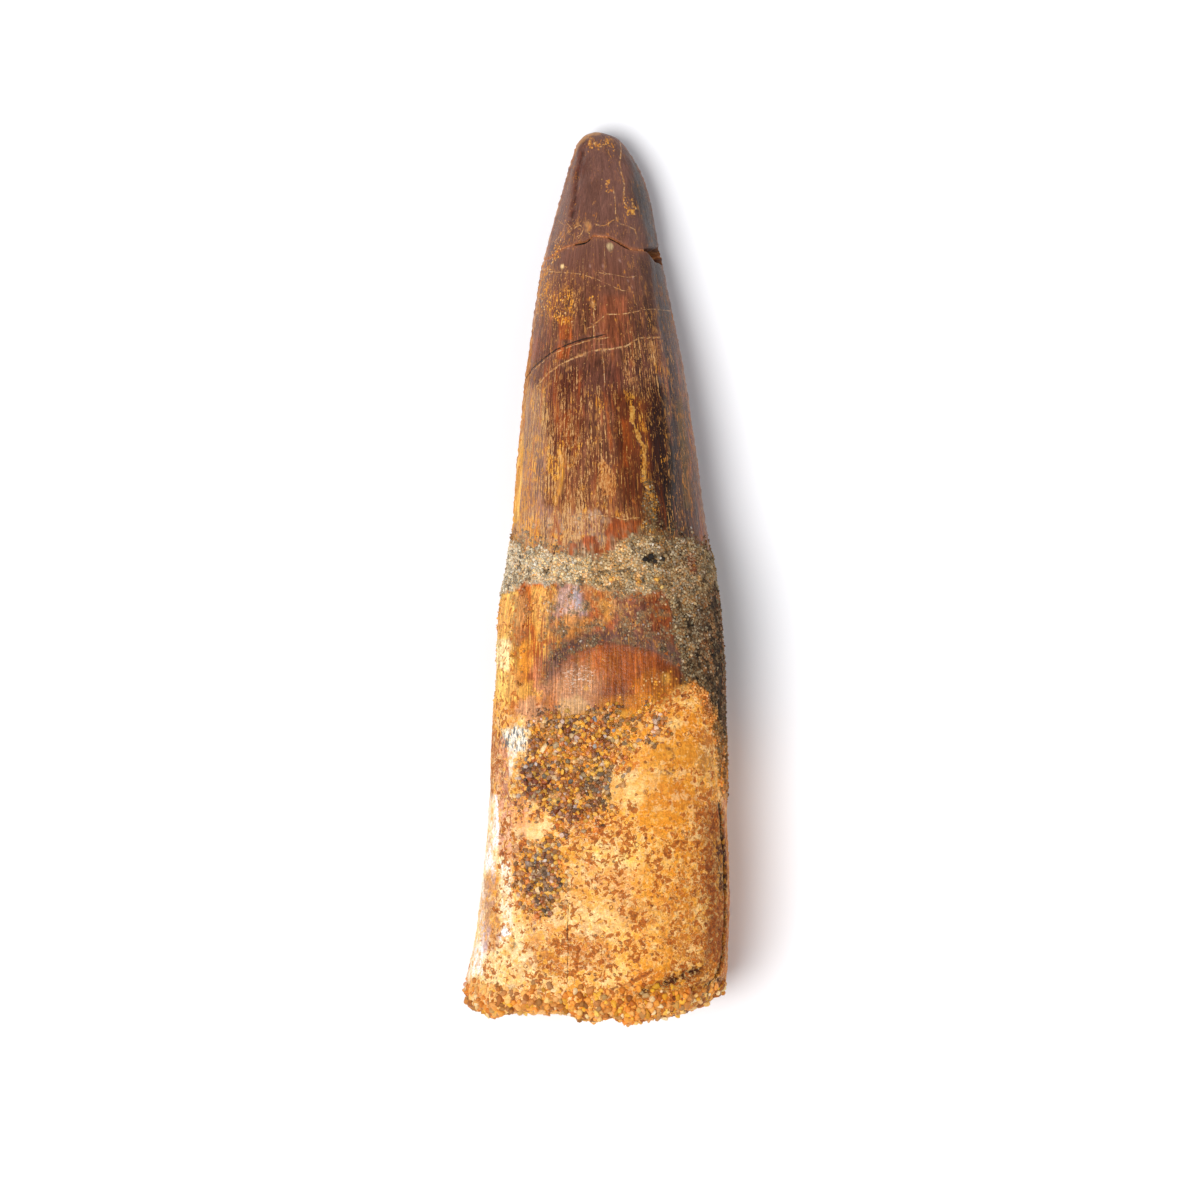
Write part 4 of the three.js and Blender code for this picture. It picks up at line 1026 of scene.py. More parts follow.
# flakes, spots, blotches
for name, x, y, rx, ry, k in (
    ("cream", 579, 729, 3.5, 5, 0.8), ("cream", 555, 800, 5, 8, 0.7),
    ("yellow", 591, 772, 5, 4, 0.8), ("yellow", 620, 717, 7, 3.5, 0.9), ("yellow", 618, 733, 6, 5, 0.85), ("yellow", 651, 706, 5, 4, 0.8),
    ("yellow", 666, 681, 5, 6, 0.8), ("cream", 673, 725, 8, 6, 0.75), ("cream", 636, 793, 10, 8, 0.6), ("rust_soft", 556, 815, 5, 4, 0.8),
    ("rust_soft", 557, 880, 4, 4, 0.8), ("purple", 669, 751, 4, 2.6, 0.85), ("purple", 672, 758, 2.4, 2.6, 0.8), ("purple", 670, 772, 5, 4, 0.75),
    ("purple", 662, 772, 4, 2.6, 0.7), ("orange", 589, 865, 7.5, 5, 0.75), ("orange", 595, 840, 6, 4, 0.6), ("brown", 542, 964, 6, 4, 0.7),
    ("brown", 643, 921, 14, 2.6, 0.75), ("brown_dark", 605, 996, 6, 3, 0.85), ("yellow", 559, 938, 7, 4, 0.8), ("yellow", 652, 938, 5, 3, 0.75),
    ("yellow", 718, 799, 3, 6, 0.85), ("purple", 720, 874, 3, 8, 0.8), ("mauve", 640, 730, 3, 4, 0.6), ("sand_dark", 684, 683, 4, 4, 0.7),
    ("sand_dark", 515, 946, 4, 4, 0.7), ("sand_dark", 546, 913, 5, 3.5, 0.7), ("mauve", 535, 925, 2, 7, 0.8), ("sand_grey", 542, 991, 5, 4, 0.7),
    ("sand_grey", 514, 987, 6, 3, 0.6), ("cream", 486, 959, 6, 6, 0.7), ("cream", 508, 962, 5, 5, 0.6), ("white", 505, 934, 6, 7, 0.6),
    ("pink", 510, 1010, 12, 3.5, 0.8), ("brown_dark", 504, 1002, 5, 2, 0.9), ("brown", 600, 877, 3, 3, 0.6), ("brown", 601, 922, 5, 3, 0.6),
    ("purple", 595, 737, 2, 2, 0.5), ("cream", 663, 864, 8, 6, 0.5), ("cream", 700, 920, 8, 16, 0.45), ("brown", 683, 770, 3, 6, 0.3),
):
    dot(name, x, y, rx, ry, k, 0.3, 0.12)
paint("orange_brown", plaque_a, 0.75)
paint("ochre", plaque_b, 0.7)
paint("sand_dark", crust_right * smooth(Y_PX(690), Y_PX(720), YV) * smooth(-0.3, 0.2, MOTTLE), 0.75)
paint("dark", crust_right * smooth(Y_PX(700), Y_PX(730), YV) * smooth(0.0, 0.3, MOTTLE2), 0.7)
paint("pink", crust_right * smooth(12.9, 13.6, SV - 0.0 * YV) * smooth(0.1, 0.3, -MOTTLE2), 0.4)
area("brown", [(664, 970), (694, 962), (716, 968), (708, 992), (690, 986), (664, 992)], 0.6, 0.4, 0.2, 0.9)
area("purple", [(656, 986), (676, 972), (694, 966), (690, 980), (664, 992)], 0.6, 0.4, 0.2, 0.6)
area("purple", [(714, 842), (723, 838), (726, 892), (716, 892)], 0.85, 0.4, 0.2, 0.7)
area("brown_dark", [(716, 848), (724, 845), (726, 884), (718, 884)], 0.6, 0.4, 0.2, 0.9)
area("mauve", [(700, 882), (716, 880), (718, 950), (704, 958)], 0.40, 0.5, 0.4, 0.9)
area("orange_brown", [(660, 900), (690, 892), (702, 930), (698, 968), (668, 966)], 0.35, 0.6, 0.4, 1.3)
RIM_LINE = [(719.5, 800), (721.5, 830), (725, 880), (725, 920), (723.5, 960), (717, 985), (735, 985), (746, 930), (738, 880), (744, 840), (732, 806)]
right_rim = inside(RIM_LINE, 0.15, 0.12) * (1 - SIDE) + SIDE * ragged(inside(RIM_LINE, 1.5, 1.6), 1.3)
right_rim = right_rim * (1 - 0.75 * SIDE * smooth(-0.15, 0.15, fbm(P0, (1.6, 2.4, 1.6), 3, 0.6, 141)))
paint("pink", right_rim, 0.6)
paint("brown_dark", right_rim * smooth(-0.15, 0.25, MOTTLE), 0.6)
paint("brown_dark", bell(d_split, 0.85) * split_on * smooth(-0.3, 0.1, MOTTLE), 0.7)
paint("dark", bell(d_split, 0.52) * split_on, 0.9)
paint("black", bell(d_split, 0.26) * split_on, 0.9)
paint("brown", CORNER, 0.6)
paint("orange", END, 0.45)
paint("gold", END * smooth(0.0, 0.4, fbm(P0, 1.0, 3, 0.5, 83)), 0.6)
paint("cream", END * smooth(0.1, 0.45, fbm(P0, 0.9, 3, 0.5, 84)), 0.6)
paint("brown", END * smooth(0.05, 0.4, fbm(P0, 1.1, 3, 0.5, 85)), 0.5)
paint("orange", END * smooth(0.16, 0.04, CRUMB_END), 0.6)
paint("brown", END * smooth(0.30, 0.05, CRUMB_END), 0.60)
paint("brown_dark", END * smooth(0.14, 0.02, CRUMB_END) * smooth(-0.1, 0.2, MOTTLE), 0.45)
paint("pink", lump, 0.6)
# a dark brown streak along the base groove, with painted shade down the groove and in the notch
paint("brown_dark", bell(d_groove, 0.55 + 0.3 * WOB1), 0.9)
paint("dark", bell(d_groove, 0.30 + 0.12 * MOTTLE2), 0.9)
paint("dark", bell(d_notch, 0.45), 0.9)
area("orange_brown", [(690, 984), (708, 988), (712, 1000), (700, 1006), (688, 1000)], 0.7, 0.3, 0.2, 0.8)
# the side that lies on the surface: the same layers, a little dustier
paint("brown", UNDER * ROOT * smooth(-0.1, 0.5, fbm(P0, 2.4, 3, 0.5, 86)), 0.5)
paint("tan", UNDER * CROWN * smooth(0.0, 0.6, fbm(P0, (1.6, 4, 1.6), 3, 0.5, 87)), 0.35)

def shade(mask, *factor):
    """Deepen or lighten a place: one factor, or one for each of R, G and B."""
    global COL
    f = np.array(factor if len(factor) == 3 else factor * 3)
    COL = COL * (1 + (f - 1) * np.clip(mask, 0, 1)[:, None])


zone = lambda pts, soft=0.9: inside(pts, 0.5, soft)
shade(ROOT * smooth(Y_PX(860), Y_PX(940), YV) * smooth(1.0, 6.0, SV), 0.94, 0.76, 0.50)
shade(ROOT * smooth(3.0, 7.0, SV), 0.98, 0.93, 0.78)
shade(ROOT, 1.04, 0.98, 0.84)
# painted shade: the right side of the neck and of the crown, away from the key light, darkened
shade(NECK * smooth(3.0, 5.5, SV), 0.82, 0.84, 0.86)
shade(CROWN * smooth(5.0, 7.5, SV), 0.71, 0.73, 0.75)
shade(CROWN * smooth(2.5, 5.0, SV) * smooth(Y_PX(380), Y_PX(420), YV), 0.80, 0.78, 0.72)
shade(zone([(560, 366), (650, 360), (650, 402), (560, 404)]), 0.86, 0.84, 0.88)
# painted shade on the right of the upper crown
shade(CROWN * smooth(4.0, 6.5, SV) * smooth(Y_PX(200), Y_PX(280), YV), 0.72, 0.74, 0.78)
# darkens the painted sheen on the right facet of the point
shade(zone([(624, 140), (636, 150), (668, 250), (648, 250), (630, 190)], 1.1), 0.60, 0.62, 0.62)
shade(zone([(577, 140), (560, 170), (545, 244), (560, 246), (574, 200), (578, 150)]), 0.74, 0.70, 0.66)
shade(zone([(648, 380), (664, 390), (676, 540), (654, 540), (646, 470)]), 0.62, 0.54, 0.40)
shade(zone([(614, 398), (650, 396), (660, 505), (622, 512), (616, 450)]), 0.90, 0.86, 0.76)
# darkens the painted sheen band on the right of the crown
shade(zone([(657, 380), (668, 380), (680, 546), (664, 546), (660, 440)]), 0.78, 0.78, 0.82)
shade(dome, 0.80, 0.77, 0.70)
shade(zone([(590, 655), (640, 652), (684, 672), (686, 700), (640, 700), (596, 700)]), 0.90, 0.88, 0.86)
shade(zone([(494, 598), (516, 596), (520, 700), (490, 716)], 0.5), 1.04, 1.19, 1.40)
shade(zone([(688, 430), (702, 430), (708, 540), (694, 540)], 0.5), 1.08, 0.94, 0.84)
shade(zone([(684, 430), (692, 430), (694, 505), (685, 505)], 0.3), 1.12, 0.86, 0.56)
shade(BAND, 1.10, 1.08, 1.04)
shade(BAND * smooth(-1.0, -5.0, SV), 1.14, 1.20, 1.30)
shade(BAND * bell(SV, 2.6), 1.16, 1.08, 0.98)
shade(BAND * smooth(3.5, 6.0, SV), 0.82, 0.77, 0.74)
shade(crust_right * (1 - BAND), 1.35, 1.15, 0.98)
shade(zone([(689, 598), (722, 598), (730, 694), (702, 702), (693, 660)]), 1.20, 1.17, 1.12)
# painted light: the left part of the crown, which faces the light, lightened
shade(zone([(519, 392), (548, 392), (550, 528), (512, 528)]), 1.27, 1.40, 1.42)
shade(zone([(505, 436), (522, 436), (520, 528), (500, 532)], 0.4), 1.22, 1.30, 1.12)
# darkens the upper right of the crown, over its painted sheen
shade(zone([(636, 262), (662, 262), (674, 335), (644, 335)]), 0.82, 0.88, 0.88)
shade(zone([(588, 815), (642, 812), (642, 864), (588, 866)]), 1.20, 1.30, 1.40)
shade(zone([(564, 868), (640, 866), (642, 914), (568, 914)]), 0.95, 0.86, 0.84)
shade(cluster_low, 1.13, 1.13, 1.13)
shade(cluster_up, 1.08, 1.08, 1.04)
shade(zone([(560, 590), (586, 592), (586, 616), (566, 622)]), 1.07, 1.22, 1.50)
shade(zone([(532, 590), (556, 589), (556, 630), (534, 632)]), 1.0, 1.06, 1.36)
shade(zone([(586, 598), (644, 598), (646, 636), (590, 638)]), 1.16, 1.16, 1.20)
shade(zone([(534, 672), (550, 660), (556, 690), (540, 704)]), 1.10, 1.12, 0.98)
shade(ARC_SHADE, 0.92, 0.86, 0.84)
shade(zone([(526, 742), (604, 740), (604, 806), (526, 806)]), 1.05, 1.05, 1.02)
shade(right_rim, 0.80, 0.78, 1.15)
# painted shade: the right side of the root, away from the key light, darkened
shade(ROOT * smooth(3.5, 8.0, SV), 0.90, 0.89, 0.88)
# painted shade on the right edge of the root, which turns away from the light
shade(inside([(696, 812), (722, 806), (724, 960), (702, 960)], 1.2, 1.8), 0.77, 0.72, 0.68)
shade(zone([(650, 742), (716, 742), (712, 820), (642, 820)]), 0.86, 0.86, 0.86)
shade(zone([(496, 795), (512, 795), (513, 875), (498, 875)], 0.4), 1.07, 1.18, 1.48)
shade(strip_paint, 1.0, 1.17, 1.50)
shade(zone([(560, 928), (642, 928), (646, 984), (556, 984)]), 1.08, 1.12, 1.26)
shade(zone([(488, 928), (544, 928), (542, 978), (480, 978)]), 1.04, 1.20, 1.62)
shade(CROWN * smooth(-0.1, 0.4, fbm(P0, (2.0, 4.5, 2.0), 3, 0.5, 95)), 0.80, 0.76, 0.72)
shade(ROOT * smooth(0.1, 0.45, fbm(P0, (2.6, 3.0, 2.6), 3, 0.5, 96)), 0.92, 0.84, 0.68)

COL = np.minimum(COL, np.array([0.96, 0.90, 0.80]))  # no stain is paler than dry dentine

TONE = np.ones((N_WALL, 3))  # laid over the speckle and dust too


def late(mask, *factor):
    global TONE
    f = np.array(factor if len(factor) == 3 else factor * 3)
    TONE = TONE * (1 + (f - 1) * np.clip(mask, 0, 1)[:, None])


late(inside([(701, 812), (722, 802), (740, 880), (738, 970), (704, 966)], 0.7, 0.9), 0.77, 0.70, 0.62)  # painted shade on the right edge of the root, which turns away from the light
late(ROOT * smooth(1.5, 7.0, SV) * smooth(Y_PX(800), Y_PX(860), YV), 0.93, 0.91, 0.80)
late(zone([(630, 150), (642, 160), (672, 250), (650, 250), (636, 200)], 0.7), 0.76, 0.77, 0.77)  # darkens the painted sheen on the facet beside the ridge
# darkens the upper right of the crown, over its painted sheen
late(zone([(640, 262), (668, 262), (680, 340), (644, 338)], 1.0), 0.80, 0.80, 0.80)
late(zone([(614, 396), (640, 396), (666, 400), (672, 540), (640, 536), (618, 505)]), 0.80, 0.77, 0.55)
late(dome * smooth(-2.0, 4.0, SV), 0.90, 0.86, 0.80)
late(ARC_SHADE, 0.86, 0.82, 0.84)
late(NECK * zone([(640, 598), (678, 596), (684, 652), (662, 648), (642, 638)]), 0.80, 0.78, 0.80)
late(zone([(558, 590), (588, 592), (588, 618), (564, 624)]), 1.0, 1.05, 1.20)
late(BAND * smooth(3.5, 6.0, SV), 0.93, 0.88, 0.84)
late(END, 1.08, 1.16, 1.20)
late(ROOT * smooth(2.5, -3.0, SV) * (1 - CLUSTERS), 1.02, 1.07, 1.20)
# darkens the painted sheen on the right facet of the point
late(zone([(624, 148), (634, 158), (643, 190), (652, 250), (640, 250), (630, 215), (626, 185)], 0.8), 0.78, 0.81, 0.82)
late(zone([(674, 380), (690, 400), (702, 540), (680, 540)]), 1.10, 0.99, 0.86)
late(zone([(578, 142), (561, 172), (546, 244), (562, 246), (575, 200), (581, 150)]), 0.97, 0.91, 0.88)
# darkens the upper right of the crown, over its painted sheen
late(zone([(638, 262), (664, 262), (674, 336), (642, 336)]), 0.92, 0.92, 0.92)
late(zone([(566, 368), (644, 366), (646, 402), (566, 404)]), 0.94, 0.93, 1.0)
# more painted light on the left part of the crown
late(zone([(524, 398), (548, 398), (547, 472), (524, 472)]), 1.03, 1.07, 1.08)
late(crust_right * (1 - BAND), 1.20, 1.18, 1.16)
late(zone([(530, 590), (554, 590), (554, 620), (530, 620)]), 1.0, 1.03, 1.16)
late(zone([(498, 598), (518, 598), (518, 692), (496, 692)]), 1.04, 1.13, 1.24)
late(zone([(522, 816), (556, 814), (558, 844), (524, 846)]), 1.14, 1.07, 1.17)
late(zone([(646, 984), (704, 984), (700, 1010), (648, 1012)]), 0.93, 0.91, 0.80)
late(zone([(652, 738), (694, 738), (692, 768), (652, 768)]), 0.96, 0.95, 0.92)
late(right_rim, 1.16, 1.16, 1.32)
late(zone([(689, 598), (722, 598), (730, 694), (702, 702), (693, 660)]), 1.10, 1.09, 1.07)
late(zone([(486, 984), (560, 984), (560, 1008), (486, 1010)]), 1.05, 1.06, 1.12)
late(ARC_SHADE, 0.93, 0.95, 1.0)
late(strip_paint * smooth(Y_PX(870), Y_PX(900), YV), 1.0, 0.965, 0.90)
late(zone([(530, 850), (560, 850), (558, 900), (530, 900)]), 1.10, 1.09, 1.10)
late(zone([(560, 920), (640, 920), (640, 980), (560, 980)]), 1.03, 1.04, 1.06)

# ---- strengths for the fine texture -------------------------------------

TAN = np.zeros(N_WALL)  # tan dust in the troughs of the enamel
SPECK = np.zeros(N_WALL)  # brown speckle of the root
STRIPE = np.zeros(N_WALL)  # fine upright stripes of the neck
GLOSS = np.zeros(N_WALL)


def raise_to(field, mask, value):
    return field + (value - field) * np.clip(mask, 0, 1)


TAN = raise_to(TAN, CROWN, 0.20)
TAN = raise_to(TAN, CROWN * smooth(Y_PX(250), Y_PX(300), YV), 0.28)
TAN = raise_to(TAN, CROWN * smooth(Y_PX(365), Y_PX(410), YV), 0.34)
TAN = raise_to(TAN, CROWN * smooth(Y_PX(430), Y_PX(500), YV), 0.40)
TAN = raise_to(TAN, inside([(530, 270), (572, 268), (580, 300), (572, 332), (530, 335)], 0.5, 0.7), 0.40)
TAN = raise_to(TAN, inside([(519, 392), (545, 388), (556, 420), (552, 500), (540, 528), (514, 528)], 0.4, 0.7), 0.50)
TAN = raise_to(TAN, inside([(556, 425), (600, 430), (606, 500), (580, 520), (552, 512)], 0.5, 0.7), 0.44)
TAN = raise_to(TAN, inside([(618, 392), (660, 392), (668, 540), (620, 512)], 0.5, 0.5), 0.24)
TAN = raise_to(TAN, CROWN * smooth(6.3, 7.2, SV) * smooth(Y_PX(380), Y_PX(420), YV), 0.26)
TAN = raise_to(TAN, inside([(625, 345), (660, 340), (664, 400), (640, 408), (625, 390)], 0.5, 0.4), 0.38)
TAN = raise_to(TAN, inside([(600, 270), (625, 268), (622, 345), (602, 350)], 0.5, 0.5), 0.14)
TAN = raise_to(TAN, inside([(575, 345), (620, 345), (622, 388), (580, 392)], 0.4, 0.4), 0.16)
TAN = raise_to(TAN, inside([(622, 138), (634, 150), (668, 250), (646, 250), (628, 190)], 0.3, 0.4), 0.22)
TAN = raise_to(TAN, inside([(577, 150), (622, 150), (626, 218), (576, 220)], 0.3, 0.5), 0.13)
TAN = raise_to(TAN, inside([(556, 222), (590, 220), (592, 240), (552, 256)], 0.3, 0.3), 0.32)
TAN = raise_to(TAN, inside([(590, 140), (614, 138), (614, 154), (590, 156)], 0.2, 0.2), 0.30)
TAN = raise_to(TAN, inside([(512, 516), (600, 512), (604, 548), (560, 560), (508, 552)], 0.5, 0.6), 0.55)
GOLDEN = np.zeros(N_WALL)  # where the dust is ochre
for pts, tan_k in (
    ([(588, 142), (600, 141), (601, 153), (589, 153)], 0.66), ([(604, 136), (610, 137), (611, 152), (605, 152)], 0.60),
    ([(611, 143), (616, 144), (616, 153), (611, 152)], 0.62), ([(607, 159), (611, 159), (611, 168), (607, 168)], 0.50),
    ([(607, 183), (611, 183), (611, 193), (607, 193)], 0.62), ([(622, 201), (630, 201), (636, 210), (634, 220), (626, 216)], 0.66),
    ([(535, 262), (551, 264), (552, 318), (535, 324)], 0.62), ([(552, 297), (572, 296), (573, 326), (553, 328)], 0.60),
    ([(590, 298), (595, 298), (596, 322), (590, 322)], 0.50), ([(549, 458), (558, 456), (560, 486), (555, 492), (550, 474)], 0.60),
    ([(555, 240), (563, 240), (560, 262), (545, 270)], 0.4),
    ([(630, 404), (640, 404), (648, 440), (650, 480), (660, 512), (646, 512), (638, 470)], 0.46),
    ([(624, 396), (635, 400), (640, 424), (638, 440), (631, 428), (628, 412)], 0.50),
):
    m_ = inside(pts, 0.45, 0.3)
    upper = min(y for _, y in pts) < 330
    m_ = m_ * smooth(*((-0.42, 0.10) if upper else (-0.55, 0.15)), MOTTLE + 0.5 * MOTTLE2)
    TAN = raise_to(TAN, m_, tan_k * (0.74 if upper else 1.0))
    GOLDEN = raise_to(GOLDEN, m_, 1.0)
CRUMBY = np.clip(GOLDEN * smooth(Y_PX(345), Y_PX(325), YV) + 0.8 * COLUMN
                 + 0.85 * inside([(632, 692), (650, 680), (668, 672), (684, 678), (692, 692), (680, 706), (650, 714), (634, 712)], 0.8, 0.5)
                 + 0.55 * inside([(596, 700), (634, 696), (640, 712), (600, 716)], 0.6, 0.4)
                 + 0.25 * BAND * smooth(0.25, 0.40, fbm(P0, 0.9, 3, 0.6, 99)), 0, 1)
GOLDEN = np.clip(GOLDEN + 0.6 * smooth(Y_PX(420), Y_PX(470), YV) * smooth(-6.5, -8.0, SV) + 0.3 * smooth(0.1, 0.5, WOB2), 0, 1)
TAN = TAN * (1 - chip) * (1 - 0.85 * WINDOWS)
TAN = raise_to(TAN, NECK * (1 - dome) * smooth(-7.5, -5.5, SV) * smooth(-0.35, 0.2, MOTTLE), 0.44)
TAN = raise_to(TAN, near_mid * NECK * (1 - dome) * smooth(-0.30, 0.2, MOTTLE), 0.56)
TAN = raise_to(TAN, inside([(640, 388), (668, 388), (672, 440), (652, 440)], 0.4, 0.5), 0.33)
TAN += CROWN * (TAN > 0.15) * (0.16 * fbm(P0, (1.3, 3.0, 1.3), 4, 0.6, 91) + 0.12 * fbm(STRIA, (0.5, 0.5, 3.5), 2, 0.5, 93))

SPECK = raise_to(SPECK, ROOT, 0.34)
SPECK = raise_to(SPECK, ROOT * smooth(0.05, 0.4, fbm(P0, 3.6, 3, 0.5, 92)), 0.52)
SPECK = raise_to(SPECK, inside([(560, 808), (640, 806), (648, 862), (580, 872), (556, 840)], 0.8, 0.8), 0.47)
SPECK = raise_to(SPECK, inside([(650, 742), (697, 740), (697, 768), (650, 768)], 0.8, 0.5), 0.18)
SPECK = raise_to(SPECK, inside([(642, 780), (698, 778), (700, 818), (644, 818)], 1.0, 0.8), 0.26)
SPECK = raise_to(SPECK, inside([(604, 778), (644, 776), (644, 806), (608, 806)], 0.8, 0.6), 0.28)
SPECK = raise_to(SPECK, inside([(518, 829), (526, 819), (538, 822), (549, 815), (556, 821), (550, 832), (546, 839), (533, 841), (522, 838)], 0.5, 0.3), 0.12)
SPECK = raise_to(SPECK, inside([(568, 872), (640, 868), (640, 910), (570, 914)], 1.0, 0.9), 0.41)
SPECK = raise_to(SPECK, inside([(555, 936), (645, 930), (650, 985), (552, 982)], 0.9, 0.9), 0.47)
SPECK = raise_to(SPECK, inside([(696, 800), (721, 796), (722, 960), (700, 950), (696, 890)], 1.3, 1.8), 0.60)
SPECK = raise_to(SPECK, inside([(640, 700), (704, 690), (708, 738), (644, 738)], 0.4, 0.4), 0.46)
SPECK = raise_to(SPECK, strip_rust, 0.46)
SPECK = raise_to(SPECK, ZEBRA, 0.0)
SPECK = raise_to(SPECK, WHITE_STREAK, 0.10)
SPECK = raise_to(SPECK, strip_cream, 0.10)
SPECK = raise_to(SPECK, inside([(496, 598), (518, 596), (520, 716), (490, 716)], 0.3, 0.2), 0.42)
SPECK = raise_to(SPECK, PLAQUES, 0.12)
SPECK = SPECK * (1 - 0.32 * PLATES)
SPECK = raise_to(SPECK, END, 0.40)
SPECK = raise_to(SPECK, right_rim, 0.45)
SPECK = raise_to(SPECK, inside([(712, 838), (724, 836), (727, 892), (715, 892)], 0.5, 0.4), 0.16)
SPECK = raise_to(SPECK, left_bare, 0.26)
TAN = raise_to(TAN, NECK * (1 - dome) * inside([(640, 598), (678, 596), (684, 652), (662, 648), (642, 638)], 0.6, 0.6), 0.30)
SPECK = raise_to(SPECK, NECK * (1 - dome) * smooth(-0.3, 0.2, MOTTLE2 - 0.3 * MOTTLE) * (SV > -8.0), 0.30)

STRIPE = raise_to(STRIPE, inside([(529, 588), (557, 586), (557, 612), (560, 650), (540, 690), (526, 650)], 0.3, 0.3), 1.0)
STRIPE = raise_to(STRIPE, dome * 0.12, 1.0)
STRIPE = raise_to(STRIPE, plateau * 0.25, 1.0)

CALM = smooth(Y_PX(360), Y_PX(240), YV)
RUST = (1 - 0.6 * inside([(616, 396), (672, 396), (676, 545), (650, 545), (616, 505)], 0.5, 0.8)) * CROWN * (1 - 0.8 * CALM) * np.clip(0.25 + smooth(Y_PX(300), Y_PX(420), YV) * 0.6 + 0.5 * smooth(0.0, 0.5, patchy), 0, 1)
SAND = np.clip(CRUST + 0.5 * CLUSTERS + 0.2 * END + 0.5 * sed, 0, 1)
GLOSS = raise_to(GLOSS, CROWN, 0.85)
GLOSS = raise_to(GLOSS, NECK, 0.45)
GLOSS = raise_to(GLOSS, dome, 0.95)
GLOSS = raise_to(GLOSS, ROOT, 0.30)
GLOSS = raise_to(GLOSS, plateau, 0.55)
GLOSS = raise_to(GLOSS, np.clip(CRUST + CLUSTERS, 0, 1), 0.0)
GLOSS = raise_to(GLOSS, np.clip(left_bare + chip, 0, 1), 0.25)
GLOSS = raise_to(GLOSS, np.clip(strip_paint + strip_rust, 0, 1), 0.10)
# where white glints are painted, a painted highlight on the worn face
GLINT = inside([(560, 674), (584, 668), (594, 672), (592, 690), (568, 696)], 0.3, 0.35)

# --------------------------------------------------------------------------
# The tooth as one mesh
# --------------------------------------------------------------------------

N_R = len(ROWS_Y)
grid = P0.reshape(N_R, N_COLS, 3)


def grid_normals(g):
    dr = np.gradient(g, axis=0)
    gc = np.concatenate([g[:, -1:], g, g[:, :1]], axis=1)
    dc = (gc[:, 2:] - gc[:, :-2]) / 2
    n = np.cross(dc, dr)
    n /= np.maximum(np.linalg.norm(n, axis=2), 1e-12)[..., None]
    return n


NORM0 = grid_normals(grid)
middle = np.stack([(station(1, ROWS_Y) + station(2, ROWS_Y)) / 2, ROWS_Y, (station(3, ROWS_Y) + station(4, ROWS_Y)) / 2], -1)
if np.sum(NORM0 * (grid - middle[:, None, :])) < 0:
    NORM0 = -NORM0
NORM0[0] = (0.0, 1.0, 0.0)
wall_pts = grid + NORM0 * H.reshape(N_R, N_COLS)[..., None]
wall_pts[..., 2] = np.maximum(wall_pts[..., 2], 0.0)
NORM = grid_normals(wall_pts)
if np.sum(NORM * NORM0) < 0:
    NORM = -NORM
NORM[0] = (0.0, 1.0, 0.0)

# broken end: rings running in from the last row
outer = wall_pts[-1]
centre = np.array([outer[:, 0].mean(), outer[:, 2].mean()])
away = np.hypot(outer[:, 0] - centre[0], outer[:, 2] - centre[1])
frac = (np.arange(1, END_RINGS + 1) / END_RINGS) ** 1.25 * 0.965
SINK_AT = [0, 0.12, 0.3, 0.75, 1.5, 2.6, 3.7, 5.4, 7.6, 14]
SINK_TO = [1.7, 1.35, 0.85, 0.4, 0.08, 0.0, 0.35, 0.9, 1.0, 0.9]
cap = np.zeros((END_RINGS, N_COLS, 3))
cap_inset = np.zeros((END_RINGS, N_COLS))
for k, f in enumerate(frac):
    inset = f * away
    x = centre[0] + (outer[:, 0] - centre[0]) * (1 - f)
    z = centre[1] + (outer[:, 2] - centre[1]) * (1 - f)
    q = np.stack([x, np.zeros_like(x), z], -1)
    end = mix(edge_y(x, z), -44.3, smooth(1.5, 6, inset))
    rough = (0.20 * fbm(q, 2.4, 3, 0.5, 111) + 0.14 * fbm(q, 0.8, 2, 0.6, 112)) * smooth(0, 0.6, inset)
    filling = smooth(2.9, 3.9, inset + 0.5 * fbm(q, 2.0, 2, 0.5, 113))
    rough += filling * 0.22 * fbm(q, 1.2, 3, 0.6, 114)
    sink = np.interp(inset, SINK_AT, SINK_TO)
    tie = smooth(0.5, 0.0, inset)
    y_wall = outer[:, 1] - (1.7 - sink)
    cap[k] = np.stack([x, mix(end + sink + rough, y_wall, tie), np.maximum(z, 0.0)], -1)
    cap_inset[k] = inset
N_CAP = END_RINGS * N_COLS
CAP_P = cap.reshape(-1, 3)
CAP_I = cap_inset.reshape(-1)
cap_q = CAP_P * (1, 0, 1)
FILL = smooth(2.9, 3.9, CAP_I + 0.5 * fbm(cap_q, 2.0, 2, 0.5, 113))

apex = np.array([[-0.101, 44.998, 3.75]])
hub = np.array([[centre[0], CAP_P[-N_COLS:, 1].mean(), centre[1]]])
VERTS = np.vstack([wall_pts.reshape(-1, 3), CAP_P, apex, hub])

vis_lo, vis_hi = VERTS.min(0), VERTS.max(0)
cad_lo, cad_hi = np.array(CAD_BOX[0]) / MM, np.array(CAD_BOX[1]) / MM
SHIFT = (cad_lo + cad_hi) / 2 - (vis_lo + vis_hi) / 2
SHIFT[2] = 0.0
print("shift", SHIFT.round(3), "visual", (vis_hi - vis_lo).round(2), "cad", (cad_hi - cad_lo).round(2))

# faces
idx = np.arange(N_WALL).reshape(N_R, N_COLS)
cidx = N_WALL + np.arange(N_CAP).reshape(END_RINGS, N_COLS)
rings_idx = np.vstack([idx, cidx])
a = rings_idx[:-1]
b = np.roll(rings_idx, -1, axis=1)[:-1]
c = np.roll(rings_idx, -1, axis=1)[1:]
d = rings_idx[1:]
quads = np.stack([a, d, c, b], -1).reshape(-1, 4)
APEX, HUB = N_WALL + N_CAP, N_WALL + N_CAP + 1
first, second = rings_idx[0], np.roll(rings_idx[0], -1)
tip_tris = np.stack([np.full(N_COLS, APEX), first, second], -1)
last, last2 = rings_idx[-1], np.roll(rings_idx[-1], -1)
hub_tris = np.stack([np.full(N_COLS, HUB), last2, last], -1)


